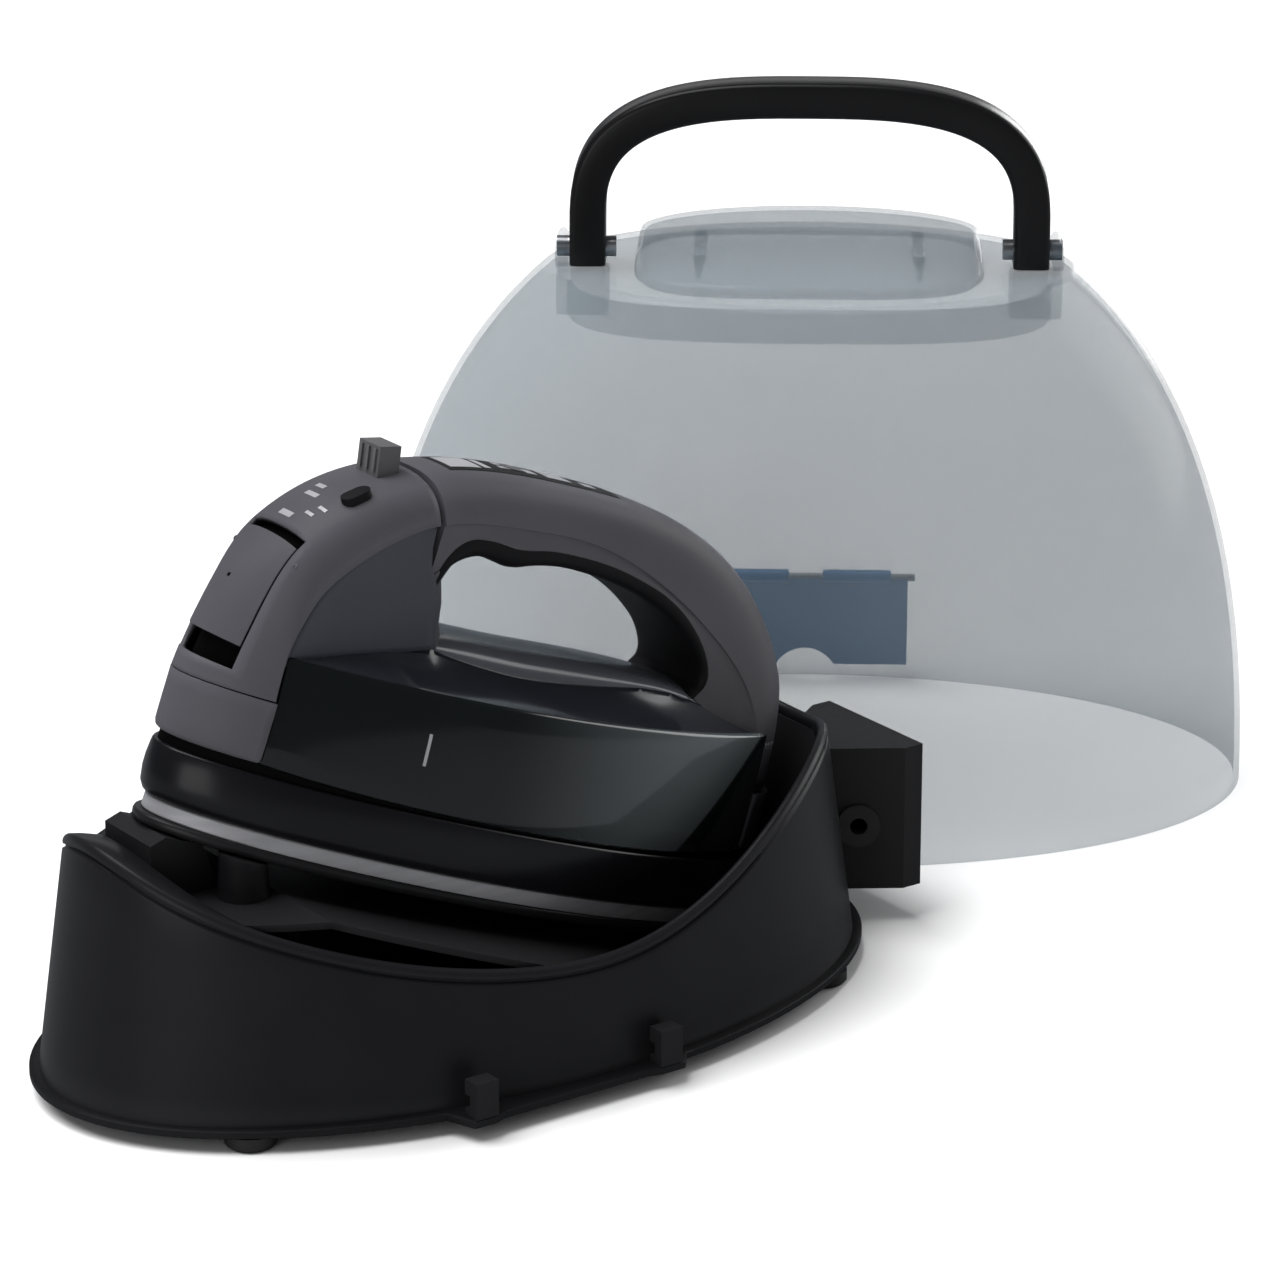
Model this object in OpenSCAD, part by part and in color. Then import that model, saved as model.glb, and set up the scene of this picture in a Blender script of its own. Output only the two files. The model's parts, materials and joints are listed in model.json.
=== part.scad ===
// Cordless clothes iron, parked nose-up on its heating base, with the
// translucent carrying cover standing behind it.
// Frame: base along X (nose at -X), Y across, Z up, floor at Z = 0.
// The iron has its own tilted frame: sole underside trim at z = 0, centre of
// the sole at x = 0, nose at -x.

/* [Heating base] */
// Length of the bottom flange
base_l = 330; // [290:1:380]
// Width of the bottom flange
base_w = 190; // [176:1:220]
// Thickness of the bottom plate and its flange
plate_t = 3; // [2:0.5:4]
// Height of the rubber feet
foot_h = 5; // [4:0.5:7]
// Radius of the rubber feet
foot_r = 9; // [6:0.5:12]
// Wall thickness of the base shell
base_wall = 3; // [2:0.5:4]
// Set-back of the shell wall from the flange edge
flange_w = 3.5; // [2:0.5:6]
// Inward lean of the wall from flange to rim
wall_lean = 12; // [6:1:16]
// Height of the rim at its lowest point
rim_low = 49; // [44:1:54]
// Rise of the rim towards the nose
rim_nose_rise = 48; // [42:1:54]
// Rise of the rim towards the heel
rim_heel_rise = 44; // [36:1:50]

/* [Iron] */
// Length of the skirt
iron_l = 258; // [250:1:264]
// Width of the skirt
iron_w = 104; // [84:1:116]
// Height of the handle arch above the sole
arch_top = 141; // [134:1:150]
// Tilt of the parked iron, nose up
tilt = 21; // [19:0.5:22]
// Thickness of the soleplate
sole_t = 4; // [3:0.5:5]
// Height of the bright trim band
trim_h = 5.5; // [4:0.5:7]
// Top of the skirt
skirt_top = 24.6; // [22:0.2:26]
// Seam between the nose cover and the spine
seam_z = 50; // [46:1:54]
// Top surface of the tank deck
deck_z = 70.5; // [66:0.5:74]
// Half-width of the spine
spine_w = 25; // [22:0.5:28]
// Half-width of the handle
handle_w = 20; // [17:0.5:22]
// Wall thickness of the iron's casings
skin = 2.5; // [2:0.1:3]

/* [Hand hole] */
// Half-length of the hand hole
hole_a = 59.5; // [54:0.5:62]
// Half-height of the hand hole
hole_b = 15; // [12:0.5:15.5]
// Thickness of the soft grip lining
lining_t = 3.5; // [2:0.5:4]

/* [Moving parts of the iron] */
// Radius of the lever pin
lever_pin_r = 2; // [1.5:0.1:2.5]
// Radius of the steam valve rod
rod_r = 1.5; // [1.2:0.1:2]
// Radius of the filler door pin
door_pin_r = 1.2; // [1:0.1:1.5]
// Half-width of the filler door
door_w = 16; // [12:0.5:17]
// Radius of the temperature button
temp_r = 4.5; // [3.5:0.1:6]

/* [Carrying cover] */
// Length of the cover at its rim
cover_l = 344; // [320:1:400]
// Width of the cover at its rim
cover_w = 218; // [200:1:240]
// Height at which the dome would close
dome_h = 240; // [220:1:260]
// Height of the flat top of the dome
dome_flat = 205; // [190:1:210]
// Wall thickness of the cover
cover_t = 2.2; // [1.8:0.1:3]
// Height of the raised cap
cap_h = 14; // [10:0.5:18]
// Reach of the carry handle above its pivots
bail_h = 66; // [60:1:76]
// Half-span of the carry handle, outside
bail_w = 92; // [88:1:96]
// Radius of the handle pivots
bail_pin_r = 4; // [3:0.1:5]
// Width of the latch panel
latch_w = 84; // [70:1:96]
// Height of the latch panel
latch_h = 38; // [30:1:42]

/* [Placing] */
// Distance from base to cover along X
cover_dx = 246; // [244:1:320]
// Distance from base to cover along Y
cover_dy = 122; // [120:1:200]
// Turn of the cover about Z
cover_turn = 37.4; // [30:0.2:45]

/* [Clearances] */
// Gap round fixed pieces that seat in each other
seat_gap = 0.15; // [0.1:0.05:0.3]
// Gap round moving pieces
move_gap = 0.4; // [0.3:0.05:0.8]
// Radial clearance of a pin in its bore
pin_gap = 0.05; // [0.02:0.01:0.09]
// Gap between the parked iron and the base
dock_gap = 0.4; // [0.3:0.1:1]

/* [Hidden] */
$fn = 64;

// ---- numbers shared by several pieces ----
e_base = 2;                 // roundness of the base and cover ovals
e_iron = 1.9;               // roundness of the iron's plan
e_arch = 2.6;               // roundness of the handle arch
e_dome = 2.3;               // roundness of the cover's profile
n_oval = 64;                // points round a full oval
plate_z = foot_h;           // underside of the bottom plate
shell_z = plate_z + plate_t;
wall_a = base_l / 2 - flange_w;
wall_b = base_w / 2 - flange_w;
iron_a = iron_l / 2;
iron_b = iron_w / 2;
arch_z = 28;                // height of the arch's centre
arch_b = arch_top - arch_z;
band = 22;                  // depth of the spine's side flanges, along x
band_b = 16;                // and across the top
trim_a = iron_a - 5;
trim_b = iron_b - 2;
tank_z0 = skirt_top + 2.9;  // underside of the tank, above the dark joint
tank_x = iron_a - 23;       // half-length of the tank
block_x = iron_a - 32;      // front of the terminal block
deck_t = 3.7;
wedge = 0.4;                // visible joint between neighbouring covers
hole_x = 15;
sill_h = 11.5;              // height of the bar under the hand hole
roof_drop = 0.35;           // fall of the hole's roof towards the heel
hole_z = deck_z + sill_h + hole_b;
bump_r = 10;                // finger bump in the roof of the hand hole
bump_x = -15;
shield_z = skirt_top - 2.6;
block_top = 16;
lever_x = -72;
lever_z = arch_top - 25;
hub_r = lever_pin_r + 3;
jet_x = -90;
jet_y = -13;
temp_x = -20;
panel_x0 = -52;
panel_x1 = 6;
panel_w = 9;
panel_t = 2.2;
door_lo = 170;              // angles of the filler door on the arch
door_hi = 146;
door_slot = 3.5;            // finger slots at both ends of the door, in degrees
door_pin_in = 6;            // depth of the door pin under the arch
door_lug_t = 3;             // thickness of the spine's lugs for the door pin
door_lug_y = door_w + 0.6 + door_lug_t / 2;   // they hang just outside the door
heel_gap = 2.5;             // from the iron's heel to the contact housing
dock_x = iron_a + heel_gap;
blade_z = [10, 16];
blade_y = [-9, 0, 9];
blade_t = 1.2;
base_cut_z = rim_low + 60;

latch_bump = 4;             // how far the clip posts stand out of the flange

// Centre of the iron's sole trim, in the base's frame
iron_at = [-7.1, 0, 57.3];
// The whole set is centred on the frame's origin
cover_ax = sqrt(pow(cover_l / 2 * cos(cover_turn), 2) + pow(cover_w / 2 * sin(cover_turn), 2));
cover_ay = sqrt(pow(cover_l / 2 * sin(cover_turn), 2) + pow(cover_w / 2 * cos(cover_turn), 2));
set_x = (cover_dx + cover_ax - base_l / 2) / 2;
set_y = (cover_dy + cover_ay - base_w / 2 - latch_bump) / 2;

// ---- functions ----
function spow(v, p) = sign(v) * pow(abs(v), p);
function rim_z(u) = u < 0
  ? rim_low + (rim_nose_rise - 7) * pow(-u, 1.75) + 7 * pow(-u, 12)
  : rim_low + rim_heel_rise * (1 - cos(162 * u)) / 2 - 11 * pow(u, 14);
function lean(z) = wall_lean * (z - shell_z) / 82;
// Oval ring at height z
function oval_ring(a, b, e, z, n = n_oval) =
  [for (i = [0:n - 1]) let (t = 360 * i / n) [a * spow(cos(t), 2 / e), b * spow(sin(t), 2 / e), z]];
function oval_2d(a, b, e, n = n_oval) = [for (p = oval_ring(a, b, e, 0, n)) [p[0], p[1]]];
// Oval cut off at x0 and x1, as a ring
function oval_y(a, b, e, x) = b * pow(max(0, 1 - pow(abs(x) / a, e)), 1 / e);
function cut_ring(a, b, e, z, x0, x1, m = 24) = concat(
  [for (i = [0:m]) let (x = x0 + (x1 - x0) * i / m) [x, -oval_y(a, b, e, x), z]],
  [for (i = [m:-1:0]) let (x = x0 + (x1 - x0) * i / m) [x, oval_y(a, b, e, x), z]]);
// Tip of an oval beyond x = -cut, as a ring
function tip_ring(a, b, e, z, cut, m = 16) =
  let (s = acos(pow(cut / a, e / 2)))
  [for (i = [0:m]) let (t = 180 - s + 2 * s * i / m) [a * spow(cos(t), 2 / e), b * spow(sin(t),
      2 / e), z]];
// Ring of the base wall, inset by w, from the flange (f = 0) to the rim (f = 1)
function wall_ring(w, f, drop = 0) =
  [for (i = [0:n_oval - 1])
    let (t = 360 * i / n_oval, z = shell_z + (rim_z(cos(t)) - shell_z) * f - drop)
    [(wall_a - w - lean(z)) * cos(t), (wall_b - w - lean(z) * 0.7) * sin(t), z]];
function arch_pt(t, in = 0, in_b = 0) =
  [-1 + (iron_a - in) * spow(cos(t), 2 / e_arch),
   arch_z + (arch_b - (in_b == 0 ? in : in_b)) * spow(sin(t), 2 / e_arch)];
function arch_line(t0, t1, in = 0, in_b = 0, n = 40) =
  [for (i = [0:n]) arch_pt(t0 + (t1 - t0) * i / n, in, in_b)];
function arch_z_at(x) = arch_z + arch_b * pow(1 - pow(abs(x + 1) / iron_a, e_arch), 1 / e_arch);
function arch_lean(x) =
  atan2(spow((x + 1) / iron_a, e_arch - 1) / iron_a,
        pow((arch_z_at(x) - arch_z) / arch_b, e_arch - 1) / arch_b);

// ---- building blocks ----
// Closed solid through rings stacked upwards; each ring runs anticlockwise
module loft(rings) {
  n = len(rings[0]);
  m = len(rings);
  sides = [for (k = [0:m - 2], i = [0:n - 1])
    [k * n + i, (k + 1) * n + i, (k + 1) * n + (i + 1) % n, k * n + (i + 1) % n]];
  polyhedron(points = [for (r = rings) each r],
    faces = concat([[for (i = [0:n - 1]) i]], sides, [[for (i = [n - 1:-1:0]) (m - 1) * n + i]]));
}
// Tube whose rings run up the outside, over the rim and down the inside
module ring_tube(rings) {
  n = len(rings[0]);
  m = len(rings);
  polyhedron(points = [for (r = rings) each r],
    faces = [for (k = [0:m - 1], i = [0:n - 1])
      [k * n + i, ((k + 1) % m) * n + i, ((k + 1) % m) * n + (i + 1) % n, k * n + (i + 1) % n]]);
}
// Side outline (x, z) made w wide on each side of the middle
module across(w, y = 0) {
  translate([0, y + w, 0]) rotate([90, 0, 0]) linear_extrude(2 * w) children();
}
module at_base() { translate([-set_x, -set_y, 0]) children(); }
module at_iron() { at_base() translate(iron_at) rotate([0, tilt, 0]) children(); }
module at_cover() { translate([cover_dx - set_x, cover_dy - set_y, 0]) rotate([0, 0, -cover_turn]) children(); }
module plan_prism(in = 0, z0 = 0, z1 = 160) {
  translate([0, 0, z0]) linear_extrude(z1 - z0) polygon(oval_2d(iron_a - in, iron_b - in, e_iron));
}
// Solid that fills the base shell, less a gap
module base_inside(gap, z0, z1) {
  loft([for (z = [z0, z1])
    oval_ring(wall_a - base_wall - gap - lean(z), wall_b - base_wall - gap - lean(z) * 0.7, e_base, z)]);
}
module capsule(half_l, r, h) {
  for (s = [-1, 1]) translate([s * (half_l - r), 0, 0]) cylinder(r = r, h = h);
  translate([r - half_l, -r, 0]) cube([2 * (half_l - r), 2 * r, h]);
}

// ---- heating base ----
screw_at = [[-96, -44], [-96, 44], [70, -48], [70, 48]];
foot_at = [for (sx = [-1, 1], sy = [-1, 1]) [sx * 120, sy * 55]];
post_x = [-54, 22];
post_w = 9;
box_x0 = wall_a - 12;
box_x1 = base_l / 2 + 13;
box_x2 = base_l / 2 + 21;
box_z0 = 13;
box_z1 = 68;
box_hw = 28;
lid_t = 3;

lip_h = 2.3;                // lip that keys the plate into the shell
heel_room_h = 90;           // height kept clear above the sole's underside
// Space that the parked iron's sole needs, with a gap round it
module heel_room() {
  at_iron() translate([0, 0, -sole_t - dock_gap]) linear_extrude(heel_room_h) polygon(oval_2d(iron_a + 1,
      iron_b + 1, e_iron));
}
module bottom_plate() {
  color([0.07, 0.07, 0.08]) at_base() difference() {
    translate([0, 0, plate_z]) union() {
      linear_extrude(plate_t) union() {
        polygon(oval_2d(base_l / 2, base_w / 2, e_base));
        translate([post_x[0] - post_w / 2, -base_w / 2 - latch_bump])
          square([post_x[1] - post_x[0] + post_w, 20]);
      }
      linear_extrude(plate_t + lip_h) difference() {
        polygon(oval_2d(wall_a - base_wall - 1.2, wall_b - base_wall - 1.2, e_base));
        polygon(oval_2d(wall_a - base_wall - 3.2, wall_b - base_wall - 3.2, e_base));
      }
    }
    for (p = screw_at) translate([p[0], p[1], 0]) {
      cylinder(r = 1.75, h = 20);
      translate([0, 0, plate_z - 1]) cylinder(r = 3.4, h = 2.2);
    }
    translate([set_x, set_y, 0]) heel_room();
  }
}
module base_shell() {
  color([0.06, 0.06, 0.07]) at_base() difference() {
    ring_tube([wall_ring(0, 0), wall_ring(0, 1, 3), wall_ring(0.8, 1), wall_ring(base_wall - 0.4, 1),
               wall_ring(base_wall, 1, 2), wall_ring(base_wall, 0)]);
    for (k = [0, 1]) translate([post_x[k] - (k == 0 ? -7 : 29), -wall_b - 6,
        shell_z + 3]) cube([22, 20, 11]);
    translate([wall_a - 16, 0, 30]) rotate([0, 90, 0]) cylinder(r = 5, h = 30);
  }
}
tray_t = 2.4;
tray_gap = 12;
function sole_z(x) = iron_at[2] - (x - iron_at[0]) * tan(tilt);
function tray_z(x) = min(rim_low + 27, max(shell_z + 5, sole_z(x) - tray_gap));
tray_xs = [-wall_a, -108, -100, -92, 80, 92, 100, 112, wall_a];
// Side outline of the tray, from up above its top down to its underside
module tray_side(up = 0, down = tray_t) {
  polygon(concat([for (x = tray_xs) [x, tray_z(x) + up]],
    [for (i = [len(tray_xs) - 1:-1:0]) [tray_xs[i], tray_z(tray_xs[i]) - down]]));
}
module cradle_tray() {
  color([0.1, 0.1, 0.11]) at_base() difference() {
    union() {
      intersection() {
        base_inside(0.6, shell_z + 0.5, base_cut_z);
        across(wall_b) tray_side();
      }
      for (p = screw_at) translate([p[0], p[1], shell_z])
        cylinder(r = 4, h = tray_z(p[0]) - tray_t - shell_z + 1);
    }
    for (p = screw_at) translate([p[0], p[1], shell_z - 1]) cylinder(r = 1.5 + pin_gap, h = 9);
    translate([set_x, set_y, 0]) {
      heel_room();
      at_iron() translate([dock_x - 2, -18, block_z - 2]) cube([block_l + 4, 36, 22]);
    }
  }
}
module nose_rest() {
  color([0.16, 0.16, 0.17]) at_base() intersection() {
    across(15) polygon([[-132, rim_low + 27], [-132, sole_z(-132) - 9], [-126,
        sole_z(-126) - sole_t / cos(tilt) - dock_gap],
      [-112, sole_z(-112) - sole_t / cos(tilt) - dock_gap], [-106, rim_low + 27]]);
    base_inside(1, shell_z, base_cut_z + 20);
  }
}
post_at = [-103, 26];
module rest_posts() {
  color([0.2, 0.2, 0.21]) at_base()
    difference() {
      for (s = [-1, 1]) translate([post_at[0], s * post_at[1], tray_z(post_at[0]) - 8])
        cylinder(r1 = 9.5, r2 = 7, h = 40);
      across(wall_b) tray_side(0.05, 60);
      translate([set_x, set_y, 0]) at_iron() translate([-iron_l, -iron_w, -sole_t - dock_gap])
        cube([2 * iron_l, 2 * iron_w, heel_room_h]);
    }
}
block_z = 7;                // underside of the contact block
block_l = 12;
module contact_housing() {
  color([0.08, 0.08, 0.09]) difference() {
    at_base() intersection() {
      base_inside(1, shell_z + 9, base_cut_z);
      across(wall_b) polygon([[60, shell_z + 9], [wall_a, shell_z + 9], [wall_a, 66], [146, 78],
          [136, 83], [122, 84],
        [60, 84]]);
      translate([0, -48, 0]) cube([wall_a, 96, 120]);
    }
    at_iron() {
      translate([-300, -100, -60]) cube([300 + dock_x, 200, 220]);
      translate([dock_x - 1, -17, block_z]) cube([block_l + 1, 34, 22 - block_z]);
    }
  }
}
module contact_block() {
  color([0.8, 0.76, 0.66]) at_iron() difference() {
    translate([dock_x, -17 + seat_gap, block_z + seat_gap])
      cube([block_l - seat_gap, 34 - 2 * seat_gap, 22 - block_z - 2 * seat_gap]);
    for (y = blade_y) translate([dock_x - 1, y - 1.6, blade_z[0] - 1]) cube([11, 3.2, 8]);
  }
}
module contact_clips() {
  color([0.78, 0.66, 0.36]) at_iron() for (y = blade_y, s = [-1, 1])
    translate([dock_x + 3, y + s * 1.25 - 0.25, blade_z[0] - 0.5]) cube([6.8, 0.5, 7]);
}
module supply_leads() {
  color([0.75, 0.72, 0.66]) at_base() for (y = [-6, 0, 6]) translate([wall_a - 40, y, shell_z + 1.25])
    rotate([0, 90, 0]) cylinder(r = 1.1, h = 18);
}
module latch_posts() {
  color([0.05, 0.05, 0.06]) at_base() for (x = post_x)
    translate([x - post_w / 2, -base_w / 2 - latch_bump, shell_z + 0.05]) difference() {
      cube([post_w, 7, 13]);
      translate([-1, 0, 13]) rotate([45, 0, 0]) cube([post_w + 2, 3, 3], center = false);
      translate([-1, 4, 2.5]) cube([post_w + 2, 5, 5]);
    }
}
module base_feet() {
  color([0.12, 0.12, 0.12]) at_base() for (p = foot_at) translate([p[0], p[1], 0]) {
    cylinder(r1 = foot_r - 1, r2 = foot_r, h = 1);
    translate([0, 0, 1]) cylinder(r = foot_r, h = foot_h - 1);
  }
}
module base_screws() {
  color([0.7, 0.7, 0.72]) at_base() for (p = screw_at) translate([p[0], p[1], plate_z + 0.2]) {
    difference() {
      cylinder(r = 3.1, h = 1);
      translate([-2.2, -0.4, -1]) cube([4.4, 0.8, 1.6]);
      translate([-0.4, -2.2, -1]) cube([0.8, 4.4, 1.6]);
    }
    cylinder(r = 1.5, h = plate_t + 6);
  }
}
module box_plan(in) {
  polygon([[box_x0, -9 + in], [box_x1, -box_hw + in], [box_x2, -box_hw + in],
           [box_x2, box_hw - in], [box_x1, box_hw - in], [box_x0, 9 - in]]);
}
flare = atan2(box_hw - 9, box_x1 - box_x0);
grommet_s = 17.5;           // along the flared side, from the base wall
module at_flare() {
  translate([box_x0, -9, 38]) rotate([0, 0, -flare]) translate([grommet_s, 0, 0]) rotate([90, 0, 0])
      children();
}
module cord_box() {
  color([0.07, 0.07, 0.07]) at_base() difference() {
    translate([0, 0, box_z0]) linear_extrude(box_z1 - box_z0) box_plan(0);
    translate([0, 0, box_z0 + 2.5]) linear_extrude(box_z1 - box_z0 - 5) intersection() {
      box_plan(3);
      translate([wall_a + 1, -40]) square([60, 80]);
    }
    translate([box_x2 - lid_t, -box_hw + 2, box_z0 + 2]) cube([20, 2 * box_hw - 4, box_z1 - box_z0 - 4]);
    loft([for (z = [shell_z - 1, base_cut_z])
      oval_ring(wall_a + 0.2 - lean(z), wall_b + 0.2 - lean(z) * 0.7, e_base, z)]);
    at_flare() translate([0, 0, -8]) cylinder(r = 6, h = 30);
  }
}
module cord_box_lid() {
  color([0.07, 0.07, 0.07]) at_base()
    translate([box_x2 - lid_t + 0.1, -box_hw + 2 + seat_gap, box_z0 + 2 + seat_gap])
      cube([lid_t - 0.1, 2 * box_hw - 4 - 2 * seat_gap, box_z1 - box_z0 - 4 - 2 * seat_gap]);
}
module cord_grommet() {
  color([0.03, 0.03, 0.03]) at_base() at_flare() translate([0, 0, -4]) difference() {
    union() {
      cylinder(r = 6 - seat_gap, h = 4.1);
      translate([0, 0, 4.1]) cylinder(r = 8, h = 1.4);
    }
    translate([0, 0, -1]) cylinder(r = 3.2, h = 20);
  }
}

// ---- iron: sole and heater ----
module soleplate() {
  color([0.13, 0.13, 0.14]) at_iron() difference() {
    translate([0, 0, -sole_t]) linear_extrude(sole_t - 0.05) polygon(oval_2d(iron_a - 1, trim_b, e_iron));
    for (k = [0:4], s = [-1, 1]) translate([-92 + 18 * k, s * (8 + 5 * k),
        -sole_t - 1]) cylinder(r = 1.6, h = 10);
  }
}
module sole_trim() {
  color([0.75, 0.76, 0.78]) at_iron() linear_extrude(trim_h) difference() {
    polygon(oval_2d(trim_a, trim_b, e_iron));
    polygon(oval_2d(trim_a - 3, trim_b - 3, e_iron));
  }
}
element_r = 4;
element_y = 22;
element_x0 = -50;
element_x1 = 76;
module element_path(r) {
  for (s = [-1, 1]) translate([element_x0, s * element_y, 9]) rotate([0, 90, 0])
    cylinder(r = r, h = element_x1 - element_x0);
  translate([element_x0, 0, 9]) rotate([0, 0, 90]) rotate_extrude(angle = 180) translate([element_y, 0]) circle(r = r);
}
module heater_block() {
  color([0.66, 0.67, 0.68]) at_iron() difference() {
    linear_extrude(block_top) polygon(oval_2d(trim_a - 4, trim_b - 4, e_iron));
    element_path(element_r + pin_gap);
    translate([96, -19, 5]) cube([40, 38, 20]);
    translate([lever_x, 0, 5]) cylinder(r = 6, h = 20);
    for (k = [0:4], s = [-1, 1]) translate([-92 + 18 * k, s * (8 + 5 * k), -1]) cylinder(r = 1.6, h = 3);
  }
}
module heating_element() {
  color([0.45, 0.42, 0.4]) at_iron() element_path(element_r);
}
module steam_chamber_lid() {
  color([0.7, 0.7, 0.7]) at_iron() translate([-60, 0, block_top + 0.05]) difference() {
    capsule(44, 16, 1.5);
    translate([lever_x + 60, 0, -1]) cylinder(r = 4, h = 4);
  }
}
module thermostat() {
  color([0.8, 0.78, 0.7]) at_iron() translate([20, 0, block_top + 0.05]) {
    cylinder(r = 8, h = 3.2);
    for (s = [-1, 1]) translate([s * 11, 0, 0]) translate([-3.5, -2.5, 0]) cube([7, 5, 0.8]);
  }
}
module skirt() {
  rim_in = skin + 0.1;
  color([0.04, 0.04, 0.05]) at_iron() difference() {
    ring_tube([
      oval_ring(trim_a + 0.5, trim_b + 0.2, e_iron, trim_h + 0.1), oval_ring(iron_a - 1,
          iron_b - 0.6, e_iron, trim_h + 3),
      oval_ring(iron_a, iron_b, e_iron, trim_h + 10), oval_ring(iron_a - 1, iron_b - 0.6, e_iron,
          skirt_top),
      oval_ring(iron_a - 1 - rim_in, iron_b - 0.6 - rim_in, e_iron, skirt_top),
      oval_ring(iron_a - rim_in - 0.6, iron_b - rim_in - 0.6, e_iron, trim_h + 10),
      oval_ring(trim_a - rim_in + 0.5, trim_b - rim_in, e_iron, trim_h + 0.1)]);
    translate([100, -17.5, 6.5]) cube([40, 35, 15]);
  }
}
module heat_shield() {
  color([0.72, 0.72, 0.73]) at_iron() translate([0, 0, shield_z]) difference() {
    linear_extrude(1.6) polygon(oval_2d(iron_a - skin - 3, iron_b - skin - 3, e_iron));
    translate([lever_x, 0, -1]) cylinder(r = rod_r + 1, h = 4);
    for (s = [-1, 1]) translate([s * 70, 0, -1]) translate([0, s * 20, 0]) cylinder(r = 1.7, h = 4);
  }
}
// ---- iron: tank ----
function tank_b(z) = iron_b - 0.5 - 5.5 * pow((z - tank_z0) / (deck_z - tank_z0), 2);
tank_zs = [tank_z0, tank_z0 + 12, tank_z0 + 24, tank_z0 + 33, deck_z - deck_t - 0.1];
module tank_shell() {
  color([0.12, 0.16, 0.17, 0.75]) at_iron() difference() {
    loft([for (z = tank_zs) cut_ring(iron_a, tank_b(z), e_iron, z, -tank_x, tank_x)]);
    loft([for (z = [tank_z0 + 2.2, tank_z0 + 24, deck_z])
      cut_ring(iron_a - 2.2, tank_b(min(z, deck_z - deck_t)) - 2.2, e_iron, z, -tank_x + 2.2,
          tank_x - 2.2)]);
    translate([lever_x, 0, tank_z0 - 1]) cylinder(r = 4 + seat_gap, h = 5);
  }
}
neck_x = -90;
neck_r = 8;
module tank_deck() {
  color([0.2, 0.22, 0.26]) at_iron() difference() {
    loft([for (z = [deck_z - deck_t, deck_z - 1, deck_z])
      cut_ring(iron_a, tank_b(z) - (z > deck_z - 0.5 ? 1 : 0), e_iron, z, -tank_x, tank_x)]);
    translate([lever_x, 0, 0]) cylinder(r = 4 + seat_gap, h = 100);
    translate([neck_x, 0, 0]) cylinder(r = neck_r + seat_gap, h = 100);
    for (s = [-1, 1]) translate([86, s * 9, 0]) cylinder(r = 1.6, h = 100);
  }
}
module filler_neck() {
  color([0.2, 0.2, 0.22]) at_iron() translate([neck_x, 0, deck_z - deck_t]) difference() {
    union() {
      cylinder(r = neck_r, h = deck_t + 10);
      translate([0, 0, deck_t + 0.1]) cylinder(r = neck_r + 2, h = 2);
    }
    translate([0, 0, -1]) cylinder(r = neck_r - 1.5, h = 30);
  }
}
module valve_guide() {
  color([0.85, 0.85, 0.83]) at_iron() translate([lever_x, 0, tank_z0 - 0.5]) difference() {
    cylinder(r = 4, h = deck_z - tank_z0 + 6);
    translate([0, 0, -1]) cylinder(r = rod_r + pin_gap, h = 100);
  }
}
// ---- iron: covers ----
module tip_cover(z0, z1) {
  difference() {
    loft([for (z = [z0, z0 + 4, z1]) tip_ring(iron_a - (z < z0 + 1 ? 1 : 0), iron_b - 0.5, e_iron,
        z, tank_x + wedge)]);
    loft([for (z = [z0 - 1, z1 + 1]) tip_ring(iron_a - skin, iron_b - skin, e_iron, z,
        tank_x + wedge + skin)]);
  }
}
module nose_cover() {
  color([0.3, 0.3, 0.32]) at_iron() tip_cover(tank_z0, seam_z - wedge);
}
module tail_cover() {
  color([0.3, 0.3, 0.32]) at_iron() mirror([1, 0, 0]) tip_cover(tank_z0, seam_z - wedge);
}
// Seam between the front body and the handle, as (x, z)
seam_line = [[-68, arch_top + 12], [-66, arch_top - 3], [-60.5, arch_top - 12], [-60, arch_top - 22],
  [-58, arch_top - 34], [-51, arch_top - 46], [-48.5, arch_top - 56], [-46, deck_z]];
module front_zone(gap = 0) {
  polygon(concat([for (p = seam_line) [p[0] - gap, p[1]]], [[-46 - gap, seam_z], [-200, seam_z],
      [-200, arch_top + 12]]));
}
module rear_zone(gap = 0) {
  polygon(concat([for (p = seam_line) [p[0] + gap, p[1]]],
    [[tank_x + wedge, deck_z + 0.5], [tank_x + wedge, seam_z], [200, seam_z], [200, arch_top + 12]]));
}
module arch_area(in = 0, in_b = 0) {
  polygon(concat(arch_line(0, 180, in, in_b, 60), [[-iron_a - 1 + in, 20], [iron_a - 1 - in, 20]]));
}
module door_zone(gap, depth) {
  polygon(concat(arch_line(door_hi - gap, door_lo + gap, -2, 0, 16), arch_line(door_lo + gap,
      door_hi - gap, depth, 0, 16)));
}
module above(z) {
  translate([-200, z]) square([400, 300]);
}
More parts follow.
